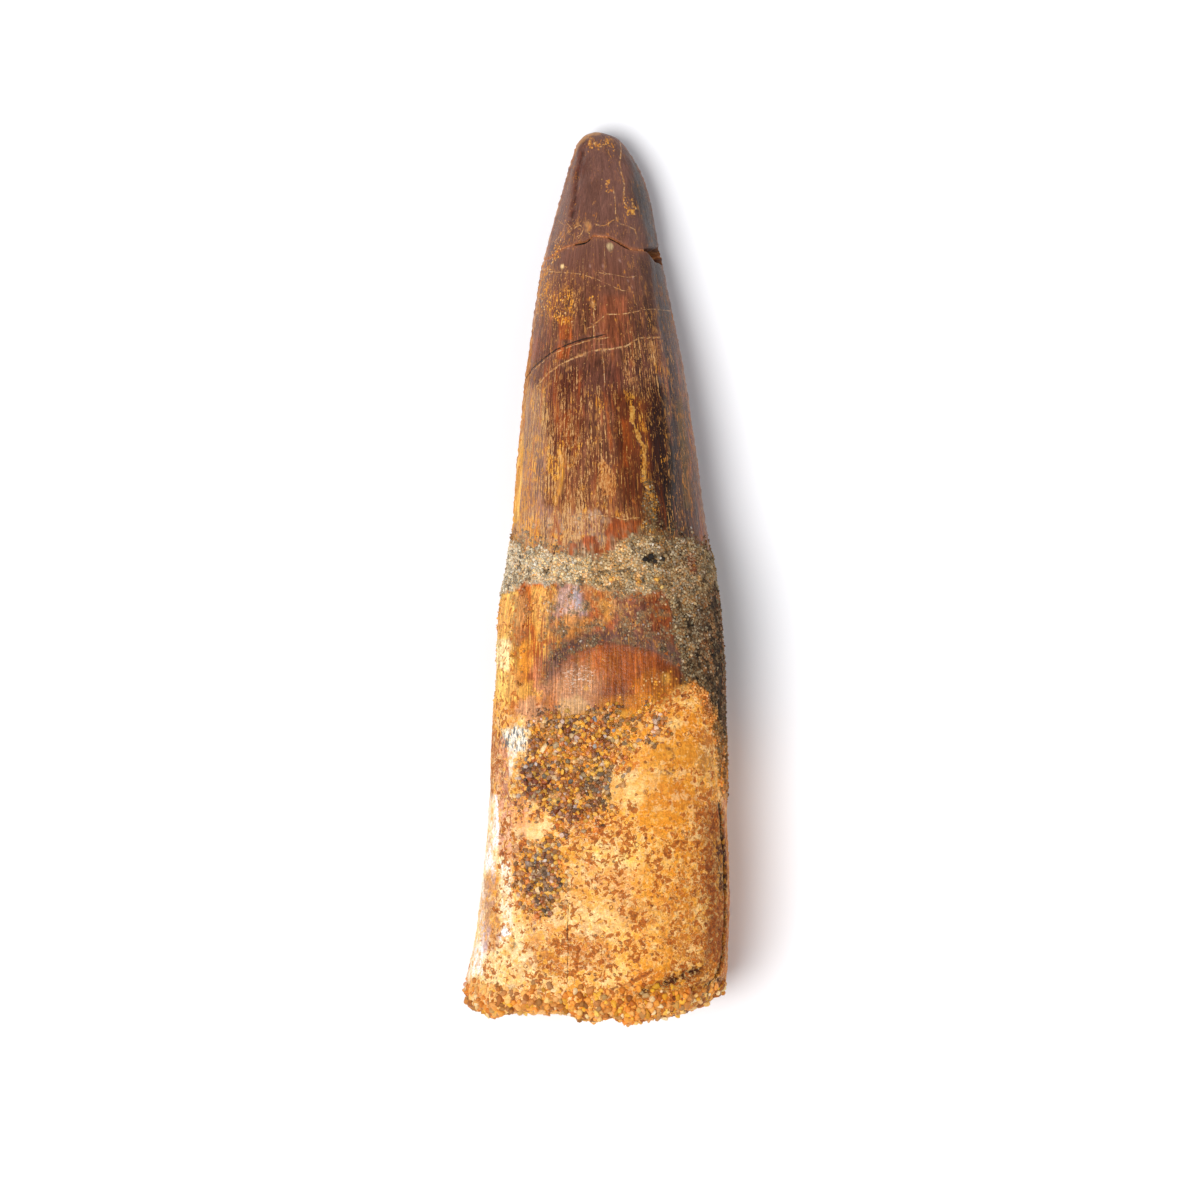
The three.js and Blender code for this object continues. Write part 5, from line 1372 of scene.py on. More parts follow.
def signed_volume(faces3):
    p, q, r = VERTS[faces3[:, 0]], VERTS[faces3[:, 1]], VERTS[faces3[:, 2]]
    return np.einsum("ij,ij->i", p, np.cross(q, r)).sum() / 6


tri_all = np.vstack([quads[:, [0, 1, 2]], quads[:, [0, 2, 3]], tip_tris, hub_tris])
if signed_volume(tri_all) < 0:
    quads, tip_tris, hub_tris = quads[:, ::-1], tip_tris[:, ::-1], hub_tris[:, ::-1]
print("tooth triangles", 2 * len(quads) + len(tip_tris) + len(hub_tris))

# per-corner map for the export's texture: the wall unrolled, the end beside it
U_MM = 0.78 / 73.0
wall_u_full = 0.397 - S_COL * U_MM  # (rows, columns + 1)
wall_v = 0.012 + 0.976 * (BASE[..., 1] - END_Y) / (45.0 - END_Y)
cap_u = 0.895 + (CAP_P[:, 0] - centre[0]) * 0.0070
cap_v = 0.11 + (CAP_P[:, 2] - centre[1]) * 0.0070


def build_mesh(name, verts, quads, tris, smooth_shaded=True):
    me = bpy.data.meshes.new(name)
    nq, nt = len(quads), len(tris)
    me.vertices.add(len(verts))
    me.vertices.foreach_set("co", ((verts + SHIFT) * MM).astype(np.float32).ravel())
    loops = np.concatenate([quads.ravel(), tris.ravel()]).astype(np.int32)
    me.loops.add(len(loops))
    me.loops.foreach_set("vertex_index", loops)
    starts = np.concatenate([np.arange(nq) * 4, nq * 4 + np.arange(nt) * 3]).astype(np.int32)
    me.polygons.add(nq + nt)
    me.polygons.foreach_set("loop_start", starts)
    me.polygons.foreach_set("use_smooth", np.full(nq + nt, smooth_shaded, bool))
    me.update(calc_edges=True)
    me.validate()
    return me


def attach(me, name, values, kind="FLOAT"):
    at = me.attributes.new(name, kind, "POINT")
    v = np.asarray(values, np.float32)
    if kind == "FLOAT":
        at.data.foreach_set("value", v.ravel())
    elif kind == "FLOAT_VECTOR":
        at.data.foreach_set("vector", v.ravel())
    else:
        at.data.foreach_set("color", np.hstack([v, np.ones((len(v), 1), np.float32)]).ravel())


me = build_mesh("tooth_surface", VERTS, quads, np.vstack([tip_tris, hub_tris]))

# UV corners, found from each loop's vertex and the column its face starts in
vert_u = np.concatenate([wall_u_full[:, :N_COLS].ravel(), cap_u, [0.397, 0.895]])
vert_v = np.concatenate([wall_v[:, :N_COLS].ravel(), cap_v, [0.99, 0.11]])
loop_v = np.empty(len(me.loops), np.int32)
me.loops.foreach_get("vertex_index", loop_v)
uv = np.stack([vert_u[loop_v], vert_v[loop_v]], -1)
nq = len(quads)
q = quads
col = np.where(q < N_WALL + N_CAP, q % N_COLS, 0)
row = q // N_COLS
closing = (col.max(1) == N_COLS - 1) & (col.min(1) == 0)
quv = uv[: nq * 4].reshape(nq, 4, 2)
wallq = row.max(1) < N_R
fix = closing & wallq
sel = np.where(fix)[0]
for k in range(4):
    m = sel[col[sel, k] == 0]
    quv[m, k, 0] = wall_u_full[row[m, k], N_COLS]
# quads from the last wall row to the first ring of the end belong to the end's island
bridge = np.where((row.min(1) == N_R - 1) & (row.max(1) == N_R))[0]
for k in range(4):
    m = bridge[row[bridge, k] == N_R - 1]
    j = col[m, k]
    quv[m, k, 0] = 0.895 + (outer[j, 0] - centre[0]) * 0.0070
    quv[m, k, 1] = 0.11 + (outer[j, 2] - centre[1]) * 0.0070
uv[: nq * 4] = quv.reshape(-1, 2)
layer = me.uv_layers.new(name="OFBake")
layer.data.foreach_set("uv", uv.astype(np.float32).ravel())


def with_cap(values, cap_values, fade=(0.5, 1.6)):
    """Wall values, carried over the rim of the end into the end's own."""
    v = np.asarray(values, float)
    flat = v.ndim == 1
    v2 = v.reshape(N_R, N_COLS, -1)
    edge = np.broadcast_to(v2[-1][None], (END_RINGS, N_COLS, v2.shape[2])).reshape(N_CAP, -1)
    cv = np.asarray(cap_values, float)
    cv = np.full((N_CAP, 1), float(cv)) if cv.ndim == 0 else cv.reshape(N_CAP, -1)
    t = smooth(fade[0], fade[1], CAP_I)[:, None]
    capped = edge + (cv - edge) * t
    out = np.vstack([v2.reshape(N_WALL, -1), capped, v2[0].mean(0)[None], capped[-N_COLS:].mean(0)[None]])
    return out[:, 0] if flat else out


def blend_names(base, steps):
    c = np.tile(TINT[base], (N_CAP, 1))
    for name, m in steps:
        c = c + (TINT[name] - c) * np.clip(m, 0, 1)[:, None]
    return c


cn1, cn2, cn3 = (fbm(cap_q, s, 3, 0.55, 120 + i) for i, s in enumerate((1.8, 0.9, 3.0)))
CAP_COL = blend_names("root", [
    ("gold", smooth(-0.1, 0.5, cn1) * 0.7), ("brown", smooth(0.0, 0.5, cn2) * 0.7), ("cream", smooth(0.1, 0.5, -cn2) * 0.7),
    ("sand", FILL), ("gold", FILL * smooth(0.0, 0.4, cn1) * 0.6), ("brown", FILL * smooth(0.0, 0.4, cn3) * 0.6),
    ("sand_mid", FILL * smooth(-0.1, 0.4, cn2) * 0.6),
    ("brown", bell(CAP_I - 1.5 - 0.35 * cn1, 0.10) * (1 - FILL) * 0.7), ("cream", bell(CAP_I - 2.2 - 0.3 * cn1, 0.35) * (1 - FILL) * 0.7),
    ("orange_brown", bell(CAP_I - 0.9 - 0.3 * cn2, 0.16) * 0.6), ("brown_dark", bell(CAP_I - 3.3 - 0.5 * cn1, 0.22) * 0.8),
])
girth_zero = with_cap(STRIA, CAP_P * (1, 1, 1), (0.0, 0.4))
attach(me, "stain", with_cap(COL, CAP_COL), "FLOAT_COLOR")
attach(me, "tone", with_cap(TONE, np.ones((N_CAP, 3))), "FLOAT_COLOR")
attach(me, "stria", girth_zero, "FLOAT_VECTOR")
attach(me, "k_enamel", with_cap(CROWN, 0))
attach(me, "across", with_cap(10 * np.arctan2(np.sin(TV - np.pi / 2), np.cos(TV - np.pi / 2)), 0))
attach(me, "k_root", with_cap(ROOT * (1 - 0.38 * PLATES), 1))
attach(me, "k_neck", with_cap(NECK, 0))
attach(me, "k_tan", with_cap(TAN, 0))
attach(me, "k_rust", with_cap(RUST, 0))
attach(me, "k_golden", with_cap(GOLDEN, 0))
attach(me, "k_speck", with_cap(SPECK, 0.30 * (1 - FILL) + 0.1))
attach(me, "k_stripe", with_cap(STRIPE, 0))
attach(me, "k_sand", with_cap(SAND, 0.25 + 0.75 * FILL))
attach(me, "k_gloss", with_cap(GLOSS, 0.15))
attach(me, "k_glint", with_cap(GLINT, 0))

# line fields: signed distance in half-widths (crosses zero on the line) and
# how near the line is
def line_fields(lines):
    near_mm = np.full(N_WALL, 99.0)
    out = np.full(N_WALL, 60.0)
    for w, pts in lines:
        dd, sd, al, ln = line_distance(pts)
        near = dd < near_mm
        out = np.where(near, sd / (w * 0.5 * PX), out)
        near_mm = np.where(near, dd, near_mm)
    return np.clip(out, -60, 60), np.exp(-(near_mm / 0.42) ** 2)


light_sd, light_near = line_fields(HAIRLINES + [(1.5, THICK_LINE[1])] + PALE_RIMS)
attach(me, "hair_sd", with_cap(light_sd, 60))
attach(me, "hair_near", with_cap(light_near, 0))
dark_sd, dark_near = line_fields([(1.2, DARK_CRACKS[0][1]), (5.5, RIGHT_SPLIT), (0.5, HAIR_ROOT)])
attach(me, "crack_sd", with_cap(dark_sd, 60))
attach(me, "crack_near", with_cap(dark_near, 0))
attach(me, "frac_d", with_cap(np.clip(D_FRAC, -4, 4), -4))
attach(me, "frac_gap", with_cap(GAP * (1 - chip), 0))
attach(me, "k_streakline", with_cap(STREAK_M, 0))
attach(me, "k_flake", with_cap(flake, 0))
attach(me, "k_zebra", with_cap(ZEBRA, 0))
attach(me, "k_calm", with_cap(CALM, 0))
attach(me, "k_crumb", with_cap(CRUMBY, 0))

tooth = bpy.data.objects.new("tooth_surface", me)
bpy.context.scene.collection.objects.link(tooth)

# --------------------------------------------------------------------------
# Materials
# --------------------------------------------------------------------------


class Graph:
    """Short names for building a material's nodes."""

    def __init__(self, name):
        self.mat = bpy.data.materials.new(name)
        self.mat.use_nodes = True
        self.t = self.mat.node_tree
        self.t.nodes.clear()
        self.out = self.t.nodes.new("ShaderNodeOutputMaterial")
        self.bsdf = self.t.nodes.new("ShaderNodeBsdfPrincipled")
        self.t.links.new(self.bsdf.outputs[0], self.out.inputs["Surface"])
        tc = self.t.nodes.new("ShaderNodeTexCoord")
        self.pos = self.vm("SCALE", tc.outputs["Object"], 1000.0)

    def put(self, socket, value):
        if isinstance(value, bpy.types.NodeSocket):
            self.t.links.new(value, socket)
        elif value is not None:
            if hasattr(value, "__len__"):
                v = list(value)
                n = len(socket.default_value)
                socket.default_value = (v + [1.0] * n)[:n]
            else:
                socket.default_value = value

    def m(self, op, a, b=None, c=None, clamp=False):
        n = self.t.nodes.new("ShaderNodeMath")
        n.operation = op
        n.use_clamp = clamp
        for i, v in enumerate((a, b, c)):
            if v is not None:
                self.put(n.inputs[i], v)
        return n.outputs[0]

    def add(self, *vs):
        out = vs[0]
        for v in vs[1:]:
            out = self.m("ADD", out, v)
        return out

    def mul(self, *vs):
        out = vs[0]
        for v in vs[1:]:
            out = self.m("MULTIPLY", out, v)
        return out

    def vm(self, op, a, b=None):
        n = self.t.nodes.new("ShaderNodeVectorMath")
        n.operation = op
        self.put(n.inputs[0], a)
        if op == "SCALE":
            self.put(n.inputs["Scale"], b)
        elif b is not None:
            self.put(n.inputs[1], b)
        return n.outputs[0]

    def div(self, v, size):
        size = (size, size, size) if not hasattr(size, "__len__") else size
        return self.vm("MULTIPLY", v, tuple(1.0 / s for s in size))

    def noise(self, v, size, detail=2.0, rough=0.5, dist=0.0):
        n = self.t.nodes.new("ShaderNodeTexNoise")
        n.inputs["Scale"].default_value = 1.0
        n.inputs["Detail"].default_value = detail
        n.inputs["Roughness"].default_value = rough
        n.inputs["Distortion"].default_value = dist
        self.put(n.inputs["Vector"], self.div(v, size))
        return n.outputs[0]

    def noise_rgb(self, v, size, detail=2.0):
        n = self.t.nodes.new("ShaderNodeTexNoise")
        n.inputs["Scale"].default_value = 1.0
        n.inputs["Detail"].default_value = detail
        self.put(n.inputs["Vector"], self.div(v, size))
        return n.outputs[1]

    def cells(self, v, size, feature="F1", rand=1.0):
        n = self.t.nodes.new("ShaderNodeTexVoronoi")
        n.feature = feature
        n.inputs["Scale"].default_value = 1.0
        n.inputs["Randomness"].default_value = rand
        self.put(n.inputs["Vector"], self.div(v, size))
        return n

    def attr(self, name, out="Fac"):
        n = self.t.nodes.new("ShaderNodeAttribute")
        n.attribute_name = name
        return n.outputs[out]

    def span(self, v, a, b, lo=0.0, hi=1.0):
        """Smooth step of v from a..b to lo..hi."""
        n = self.t.nodes.new("ShaderNodeMapRange")
        n.interpolation_type = "SMOOTHSTEP"
        for k, x in zip(("Value", "From Min", "From Max", "To Min", "To Max"), (v, a, b, lo, hi)):
            self.put(n.inputs[k], x)
        return n.outputs[0]

    def mix(self, f, a, b, mode="MIX"):
        n = self.t.nodes.new("ShaderNodeMix")
        n.data_type = "RGBA"
        n.blend_type = mode
        n.clamp_factor = True
        self.put(n.inputs[0], f)
        self.put(n.inputs[6], a)
        self.put(n.inputs[7], b)
        return n.outputs[2]

    def ramp(self, f, stops, constant=False):
        n = self.t.nodes.new("ShaderNodeValToRGB")
        if constant:
            n.color_ramp.interpolation = "CONSTANT"
        e = n.color_ramp.elements
        while len(e) > 1:
            e.remove(e[-1])
        e[0].position, e[0].color = stops[0][0], (*stops[0][1], 1)
        for p, col in stops[1:]:
            x = e.new(p)
            x.color = (*col, 1)
        self.put(n.inputs[0], f)
        return n.outputs[0]

    def finish(self, colour, rough, height=None, strength=1.0):
        self.put(self.bsdf.inputs["Base Color"], colour)
        self.put(self.bsdf.inputs["Roughness"], rough)
        if height is not None:
            b = self.t.nodes.new("ShaderNodeBump")
            b.inputs["Strength"].default_value = strength
            b.inputs["Distance"].default_value = MM
            self.put(b.inputs["Height"], height)
            self.t.links.new(b.outputs[0], self.bsdf.inputs["Normal"])
        return self.mat


def tooth_material():
    g = Graph("fossil_tooth")
    T = {k: tuple(float(x) for x in v) for k, v in TINT.items()}
    st = g.attr("stria", "Vector")
    pos = g.pos
    col = g.attr("stain", "Color")
    kE, kR, kN = g.attr("k_enamel"), g.attr("k_root"), g.attr("k_neck")
    kT, kS, kSt = g.attr("k_tan"), g.attr("k_speck"), g.attr("k_stripe")
    kSand, kG, kGl = g.attr("k_sand"), g.attr("k_gloss"), g.attr("k_glint")
    off = lambda v: g.m("SUBTRACT", v, 0.5)

    # long streaks of the enamel and of the dentine below it
    s1 = g.noise(st, (0.27, 0.27, 4.8), 3, 0.6)
    s2 = g.noise(st, (0.105, 0.105, 3.6), 2, 0.5)
    s3 = g.noise(st, (0.9, 0.9, 6.0), 2, 0.5)
    s4 = g.noise(st, (0.12, 0.12, 0.55), 2, 0.6)
    streaky = g.m("ADD", kE, g.mul(kN, 0.75), clamp=True)
    # the regular fine flutes of the enamel
    wander = g.mul(off(g.noise(st, (1.6, 1.6, 7.0), 2, 0.5)), 1.0)
    flutes = g.m("SINE", g.mul(g.add(g.attr("across"), wander), 2 * math.pi / 0.37))
    flutes = g.mul(flutes, kE, g.span(g.attr("k_calm"), 0.0, 1.0, 1.0, 0.35), g.span(g.noise(st, (0.9, 0.9, 2.6), 2, 0.5), 0.38, 0.56))
    tone = g.mul(streaky, g.add(g.mul(off(s1), 2.6), g.mul(off(s2), 3.6), g.mul(off(s3), 2.0), g.mul(off(s4), 2.2)))
    tone = g.add(tone, g.mul(flutes, 0.20))
    tone = g.mul(tone, g.span(g.attr("k_calm"), 0.0, 1.0, 1.0, 0.42))
    col = g.vm("SCALE", col, g.m("POWER", 2.0, tone))
    # warm windows between the streaks
    warm = g.mul(g.span(s3, 0.52, 0.66), g.span(s1, 0.42, 0.56), g.attr("k_rust"))
    col = g.mix(g.mul(warm, 0.75), col, T["rust_glow"])

    # upright stripes where the dentine shows under the broken enamel
    w1 = g.noise(st, (0.125, 0.125, 6.0), 2, 0.5)
    w2 = g.noise(st, (0.30, 0.30, 1.6), 2, 0.5)
    stripes = g.mul(g.span(g.add(g.mul(w1, 0.75), g.mul(w2, 0.25)), 0.52, 0.60), kSt)
    col = g.mix(g.mul(stripes, 0.8), col, T["yellow"])
    dark_stripes = g.mul(g.span(w1, 0.47, 0.40), kSt)
    col = g.mix(g.mul(dark_stripes, 0.65), col, T["rust_soft"])

    # fine tan threads in the striae
    ta = g.m("ABSOLUTE", off(g.noise(st, (0.42, 0.42, 8.0), 1.5, 0.5)))
    tb = g.m("ABSOLUTE", off(g.noise(g.vm("ADD", st, (3.1, 4.7, 11.0)), (0.28, 0.28, 5.0), 1.5, 0.5)))
    brk = g.noise(st, (0.5, 0.5, 1.1), 3, 0.65)
    th = g.m("SUBTRACT", 0.66, g.mul(kT, 0.42))
    brk = g.span(g.m("SUBTRACT", brk, th), -0.03, 0.06)
    threads = g.mul(g.m("MAXIMUM", g.span(ta, 0.030, 0.008), g.span(tb, 0.034, 0.010)), brk, streaky)

    # tan dust
    t1 = g.noise(st, (0.090, 0.090, 0.50), 1.5, 0.5)
    t2 = g.noise(pos, 0.13, 2, 0.6)
    trough = g.add(g.mul(off(s1), -0.45), g.mul(off(s2), 0.35))
    t3 = g.noise(pos, 0.24, 2, 0.6)
    streaks_ = g.add(g.mul(t1, 0.66), g.mul(t2, 0.36), trough, -0.01, g.mul(flutes, 0.045))
    loose = g.add(g.mul(t3, 0.75), g.mul(t2, 0.35), -0.05)
    kC = g.attr("k_calm")
    dust = g.add(g.mul(streaks_, g.m("SUBTRACT", 1.0, kC)), g.mul(loose, kC))
    th = g.m("SUBTRACT", 0.76, g.mul(kT, 0.50))
    dusty = g.span(g.m("SUBTRACT", dust, th), -0.012, 0.030)
    dusty = g.mul(dusty, g.span(kT, 0.0, 0.08))
    lay = g.m("MAXIMUM", dusty, g.mul(threads, 0.85))
    ochre = g.noise(pos, 1.4, 3, 0.6)
    gold_here = g.span(g.add(ochre, g.mul(g.attr("k_golden"), 0.26)), 0.54, 0.68)
    tan = g.mix(gold_here, T["ochre"], T["gold"])
    tan = g.mix(g.span(g.m("SUBTRACT", dust, th), 0.03, 0.12), tan, g.mix(gold_here, lin(216, 166, 108), T["yellow"]))
    col = g.mix(g.mul(lay, 0.80), col, tan)
    # round crumbs caught on the enamel
    kCr = g.attr("k_crumb")
    cr = g.cells(g.vm("ADD", pos, (4.0, 1.0, 7.0)), (0.27, 0.32, 0.30))
    csep = g.t.nodes.new("ShaderNodeSeparateColor")
    g.put(csep.inputs[0], cr.outputs["Color"])
    crumb = g.mul(g.span(cr.outputs["Distance"], 0.44, 0.30), g.m("GREATER_THAN", g.add(csep.outputs[0], g.mul(kCr, 0.72)), 1.02), g.span(kCr, 0.05, 0.2))
    crumb_tone = g.mix(g.span(csep.outputs[1], 0.3, 0.7), T["gold"], g.mix(g.span(csep.outputs[2], 0.5, 0.6), T["honey"], T["tan_light"]))
    crumb_tone = g.mix(g.span(csep.outputs[2], 0.22, 0.18), crumb_tone, T["ochre"])
    col = g.mix(g.mul(crumb, 0.9), col, crumb_tone)

    # root: cream blotches, golden veils, vermiculate brown speckle
    r1 = g.noise(pos, 0.8, 3, 0.6, 0.3)
    r2 = g.noise(g.vm("ADD", pos, (31.0, 7.0, 3.0)), 0.65, 3, 0.6, 0.4)
    r3 = g.noise(g.vm("ADD", pos, (11.0, 37.0, 23.0)), 1.9, 3, 0.6, 0.5)
    col = g.mix(g.mul(kR, g.span(r1, 0.54, 0.59), 0.55), col, T["cream"])
    col = g.mix(g.mul(kR, g.span(r2, 0.54, 0.58), 0.65), col, T["honey"])
    col = g.mix(g.mul(kR, g.span(r3, 0.54, 0.60), 0.45), col, T["gold"])
    v1 = g.noise(pos, (0.56, 0.58, 0.56), 2.2, 0.5, 0.5)
    v2 = g.noise(g.vm("ADD", pos, (5.0, 17.0, 9.0)), 0.17, 2, 0.5, 0.3)
    v3 = g.noise(g.vm("ADD", pos, (19.0, 3.0, 29.0)), 1.5, 3, 0.6, 0.3)
    vth = g.m("SUBTRACT", 0.665, g.mul(kS, 0.31))
    worm = g.m("SUBTRACT", g.add(g.mul(v1, 0.54), g.mul(v2, 0.16), g.mul(v3, 0.30)), vth)
    speck = g.mul(g.span(worm, -0.002, 0.014), g.span(kS, 0.02, 0.10))
    speck_tone = g.mix(g.span(v2, 0.40, 0.56), lin(150, 74, 28), lin(196, 108, 36))
    speck_tone = g.mix(g.mul(g.span(worm, 0.05, 0.12), 0.7), speck_tone, T["brown_dark"])
    col = g.mix(g.mul(speck, 0.90), col, speck_tone)
    # round pits with dark floors
    pits = g.cells(g.vm("ADD", pos, (2.0, 9.0, 4.0)), 0.62)
    psep = g.t.nodes.new("ShaderNodeSeparateColor")
    g.put(psep.inputs[0], pits.outputs["Color"])
    pit = g.mul(g.span(pits.outputs["Distance"], 0.34, 0.22), g.m("GREATER_THAN", g.add(psep.outputs[0], g.mul(kS, 0.8)), 1.08), kR)
    col = g.mix(g.mul(pit, 0.75), col, g.mix(g.span(psep.outputs[1], 0.4, 0.6), T["brown_dark"], T["brown"]))
    # small rings: a brown rim round a pale middle
    rings = g.cells(g.vm("ADD", pos, (8.0, 3.0, 15.0)), 0.85)
    rsep = g.t.nodes.new("ShaderNodeSeparateColor")
    g.put(rsep.inputs[0], rings.outputs["Color"])
    rd = g.m("ADD", rings.outputs["Distance"], g.mul(off(v2), 0.25))
    ring = g.mul(g.span(rd, 0.17, 0.21), g.span(rd, 0.32, 0.27), g.m("GREATER_THAN", g.add(rsep.outputs[0], g.mul(kS, 0.9)), 1.12), kR)
    col = g.mix(g.mul(ring, 0.85), col, lin(138, 70, 30))
    # pale halo round the speckles
    halo = g.mul(g.span(worm, -0.05, -0.02), g.span(worm, 0.0, -0.012), kR)
    col = g.mix(g.mul(halo, 0.40), col, T["cream"])
    f1 = g.noise(pos, 0.10, 2, 0.6)
    f2 = g.noise(pos, 0.27, 2, 0.6)
    grainy = g.m("MAXIMUM", kR, g.mul(kN, 0.8))
    col = g.vm("SCALE", col, g.m("POWER", 2.0, g.add(g.mul(off(f1), 1.3, g.m("ADD", 0.4, grainy)), g.mul(off(f2), 2.0, grainy))))

    # white patch with dark wavy lines
    kZ = g.attr("k_zebra")
    zz = g.noise(g.vm("ADD", pos, g.vm("SCALE", g.noise_rgb(pos, 0.5), 0.35)), (0.15, 0.95, 0.3), 2, 0.6)
    col = g.mix(g.mul(kZ, g.span(zz, 0.50, 0.56), 0.9), col, lin(92, 92, 86))

    # sand set between the grains
    warp = g.vm("ADD", pos, g.vm("SCALE", g.vm("SUBTRACT", g.noise_rgb(pos, 0.35), (0.5, 0.5, 0.5)), 0.35))
    vc = g.cells(warp, 0.24)
    sep = g.t.nodes.new("ShaderNodeSeparateColor")
    g.put(sep.inputs[0], vc.outputs["Color"])
    grain = g.ramp(sep.outputs[0], [
        (0.0, T["sand_dark"]), (0.16, T["sand_grey"]), (0.38, T["sand"]), (0.56, T["sand_mid"]), (0.70, T["sand"]), (0.80, lin(184, 150, 106)),
        (0.86, T["sand_dark"]), (0.92, T["black"]), (0.95, T["sand_light"])], True)
    joint = g.span(vc.outputs["Distance"], 0.40, 0.85)
    grain = g.mix(g.mul(joint, 0.55), grain, T["sand_dark"])
    grain = g.vm("MULTIPLY", grain, g.vm("SCALE", g.vm("ADD", g.attr("stain", "Color"), (0.04, 0.04, 0.04)), 3.1))
    col = g.mix(g.mul(kSand, 0.80), col, grain)

    # filled hairlines and open cracks
    wobble = off(g.noise(pos, 0.45, 3, 0.6))
    hd = g.m("ABSOLUTE", g.m("ADD", g.attr("hair_sd"), g.mul(wobble, 4.5)))
    hair = g.mul(g.span(hd, g.add(0.7, g.mul(g.noise(pos, 0.8, 3, 0.6), 1.7)), 0.35), g.span(g.attr("hair_near"), 0.3, 0.55), g.span(g.noise(pos, 0.45, 3, 0.7), 0.42, 0.54, 0.12, 1.0))
    col = g.mix(g.mul(hair, 0.85), col, g.mix(g.span(f2, 0.45, 0.6), T["ochre"], T["tan_light"]))
    cd = g.m("ABSOLUTE", g.m("ADD", g.attr("crack_sd"), g.mul(wobble, 2.2)))
    crack = g.mul(g.span(cd, 1.3, 0.7), g.span(g.attr("crack_near"), 0.3, 0.55), g.span(g.noise(pos, 0.7, 2, 0.6), 0.36, 0.46, 0.4, 1.0))
    col = g.mix(g.mul(crack, 0.85), col, T["black"])
    fa = g.m("ABSOLUTE", g.m("ADD", g.attr("frac_d"), g.mul(wobble, 0.14)))
    lip = g.mul(g.span(fa, 0.15, 0.06), g.span(g.noise(pos, 0.4, 3, 0.6), 0.38, 0.54, 0.2, 1.0))
    col = g.mix(g.mul(lip, 0.8), col, g.mix(g.span(v2, 0.4, 0.62), lin(150, 78, 40), lin(206, 140, 88)))
    gap = g.mul(g.span(fa, 0.08, 0.04), g.span(g.attr("frac_gap"), 0.25, 0.6))
    col = g.mix(gap, col, T["black"])

    # ochre ridge and loose flakes
    kL = g.attr("k_streakline")
    chunk = g.noise(pos, (0.55, 0.9, 0.55), 2, 0.6)
    ridge = g.span(g.add(kL, g.mul(off(f2), 1.5), g.mul(off(chunk), 1.5)), 0.44, 0.66)
    col = g.mix(g.mul(ridge, 0.88), col, g.mix(g.span(f2, 0.42, 0.62), lin(192, 124, 52), lin(228, 172, 96)))
    kF = g.attr("k_flake")
    chips_ = g.noise(g.vm("ADD", pos, g.vm("SCALE", g.noise_rgb(pos, 0.8), 0.6)), (0.13, 0.50, 0.3), 2, 0.6)
    flake_ = g.mul(g.span(g.add(g.mul(kF, 0.25), g.mul(off(chips_), 2.6)), 0.02, 0.22), g.span(kF, 0.15, 0.5))
    col = g.mix(g.mul(flake_, 0.8), col, g.mix(g.span(chips_, 0.50, 0.64), lin(190, 118, 54), lin(220, 162, 98)))

    col = g.vm("MULTIPLY", col, g.attr("tone", "Color"))

    # painted highlights: small white glints along the ripples of the worn face
    ripple = g.noise(pos, (0.62, 0.20, 0.5), 2, 0.5, 0.25)
    painted_glint = g.mul(g.span(g.m("ABSOLUTE", off(ripple)), 0.034, 0.010), g.span(g.noise(pos, (0.5, 0.35, 0.5), 2, 0.5), 0.46, 0.52), kGl)
    col = g.mix(g.mul(painted_glint, 0.75), col, lin(246, 226, 206))

    # roughness
    matt = g.m("MAXIMUM", g.m("MAXIMUM", g.mul(lay, 0.8), kSand), g.mul(lip, 0.7))
    rough = g.span(kG, 0.0, 1.0, 0.85, 0.30)
    rough = g.add(rough, g.mul(off(g.noise(pos, 0.3, 3, 0.6)), 0.4))
    rough = g.m("ADD", rough, g.mul(matt, 0.35))
    rough = g.m("MINIMUM", g.m("MAXIMUM", rough, 0.18), 0.95)

    # fine height, mm
    h = g.add(g.mul(streaky, g.add(g.mul(s1, 0.060), g.mul(s2, 0.030), g.mul(s4, 0.020))), g.mul(flutes, -0.010))
    h = g.add(h, g.mul(crumb, 0.030), g.mul(lay, 0.012), g.mul(kR, g.add(g.mul(speck, -0.045), g.mul(v2, 0.07), g.mul(f1, 0.035), g.mul(r1, 0.10), g.mul(r2, 0.08))))
    h = g.add(h, g.mul(kN, g.add(g.mul(f2, 0.06), g.mul(r1, 0.06))))
    h = g.add(h, g.mul(kSand, g.add(g.mul(vc.outputs["Distance"], -0.17), g.mul(f2, 0.14), g.mul(f1, 0.06))))
    h = g.add(h, g.mul(hair, 0.012), g.mul(crack, -0.12), g.mul(gap, -0.2))
    h = g.add(h, g.mul(kGl, ripple, 0.16), g.mul(stripes, 0.02), g.mul(ridge, 0.05, f2))
    g.bsdf.inputs["Specular IOR Level"].default_value = 0.16
    return g.finish(col, rough, h)


tooth.data.materials.append(tooth_material())


def grain_material(name, rough=0.6, specular=0.25):
    """Sand grains: each grain has its own tone."""
    g = Graph(name)
    n1 = g.noise(g.pos, 0.20, 3, 0.6)
    n2 = g.noise(g.pos, 0.08, 2, 0.6)
    col = g.vm("SCALE", g.attr("gcol", "Color"), g.add(0.30, g.mul(n1, 0.9), g.mul(n2, 0.5)))
    h = g.add(g.mul(n1, 0.06), g.mul(n2, 0.03))
    g.bsdf.inputs["Specular IOR Level"].default_value = specular
    return g.finish(col, g.add(rough, g.mul(g.m("SUBTRACT", n1, 0.5), 0.6)), h)


# --------------------------------------------------------------------------
# Grains: joined meshes of small stones set in the surface
# --------------------------------------------------------------------------

WALL_P = wall_pts.reshape(-1, 3)
WALL_N = NORM.reshape(-1, 3)
CELL = np.linalg.norm(np.roll(wall_pts, -1, 1) - wall_pts, axis=2) * np.linalg.norm(
    np.concatenate([wall_pts[1:] - wall_pts[:-1], wall_pts[-1:] - wall_pts[-2:-1]]), axis=2)
CELL = CELL.reshape(-1)


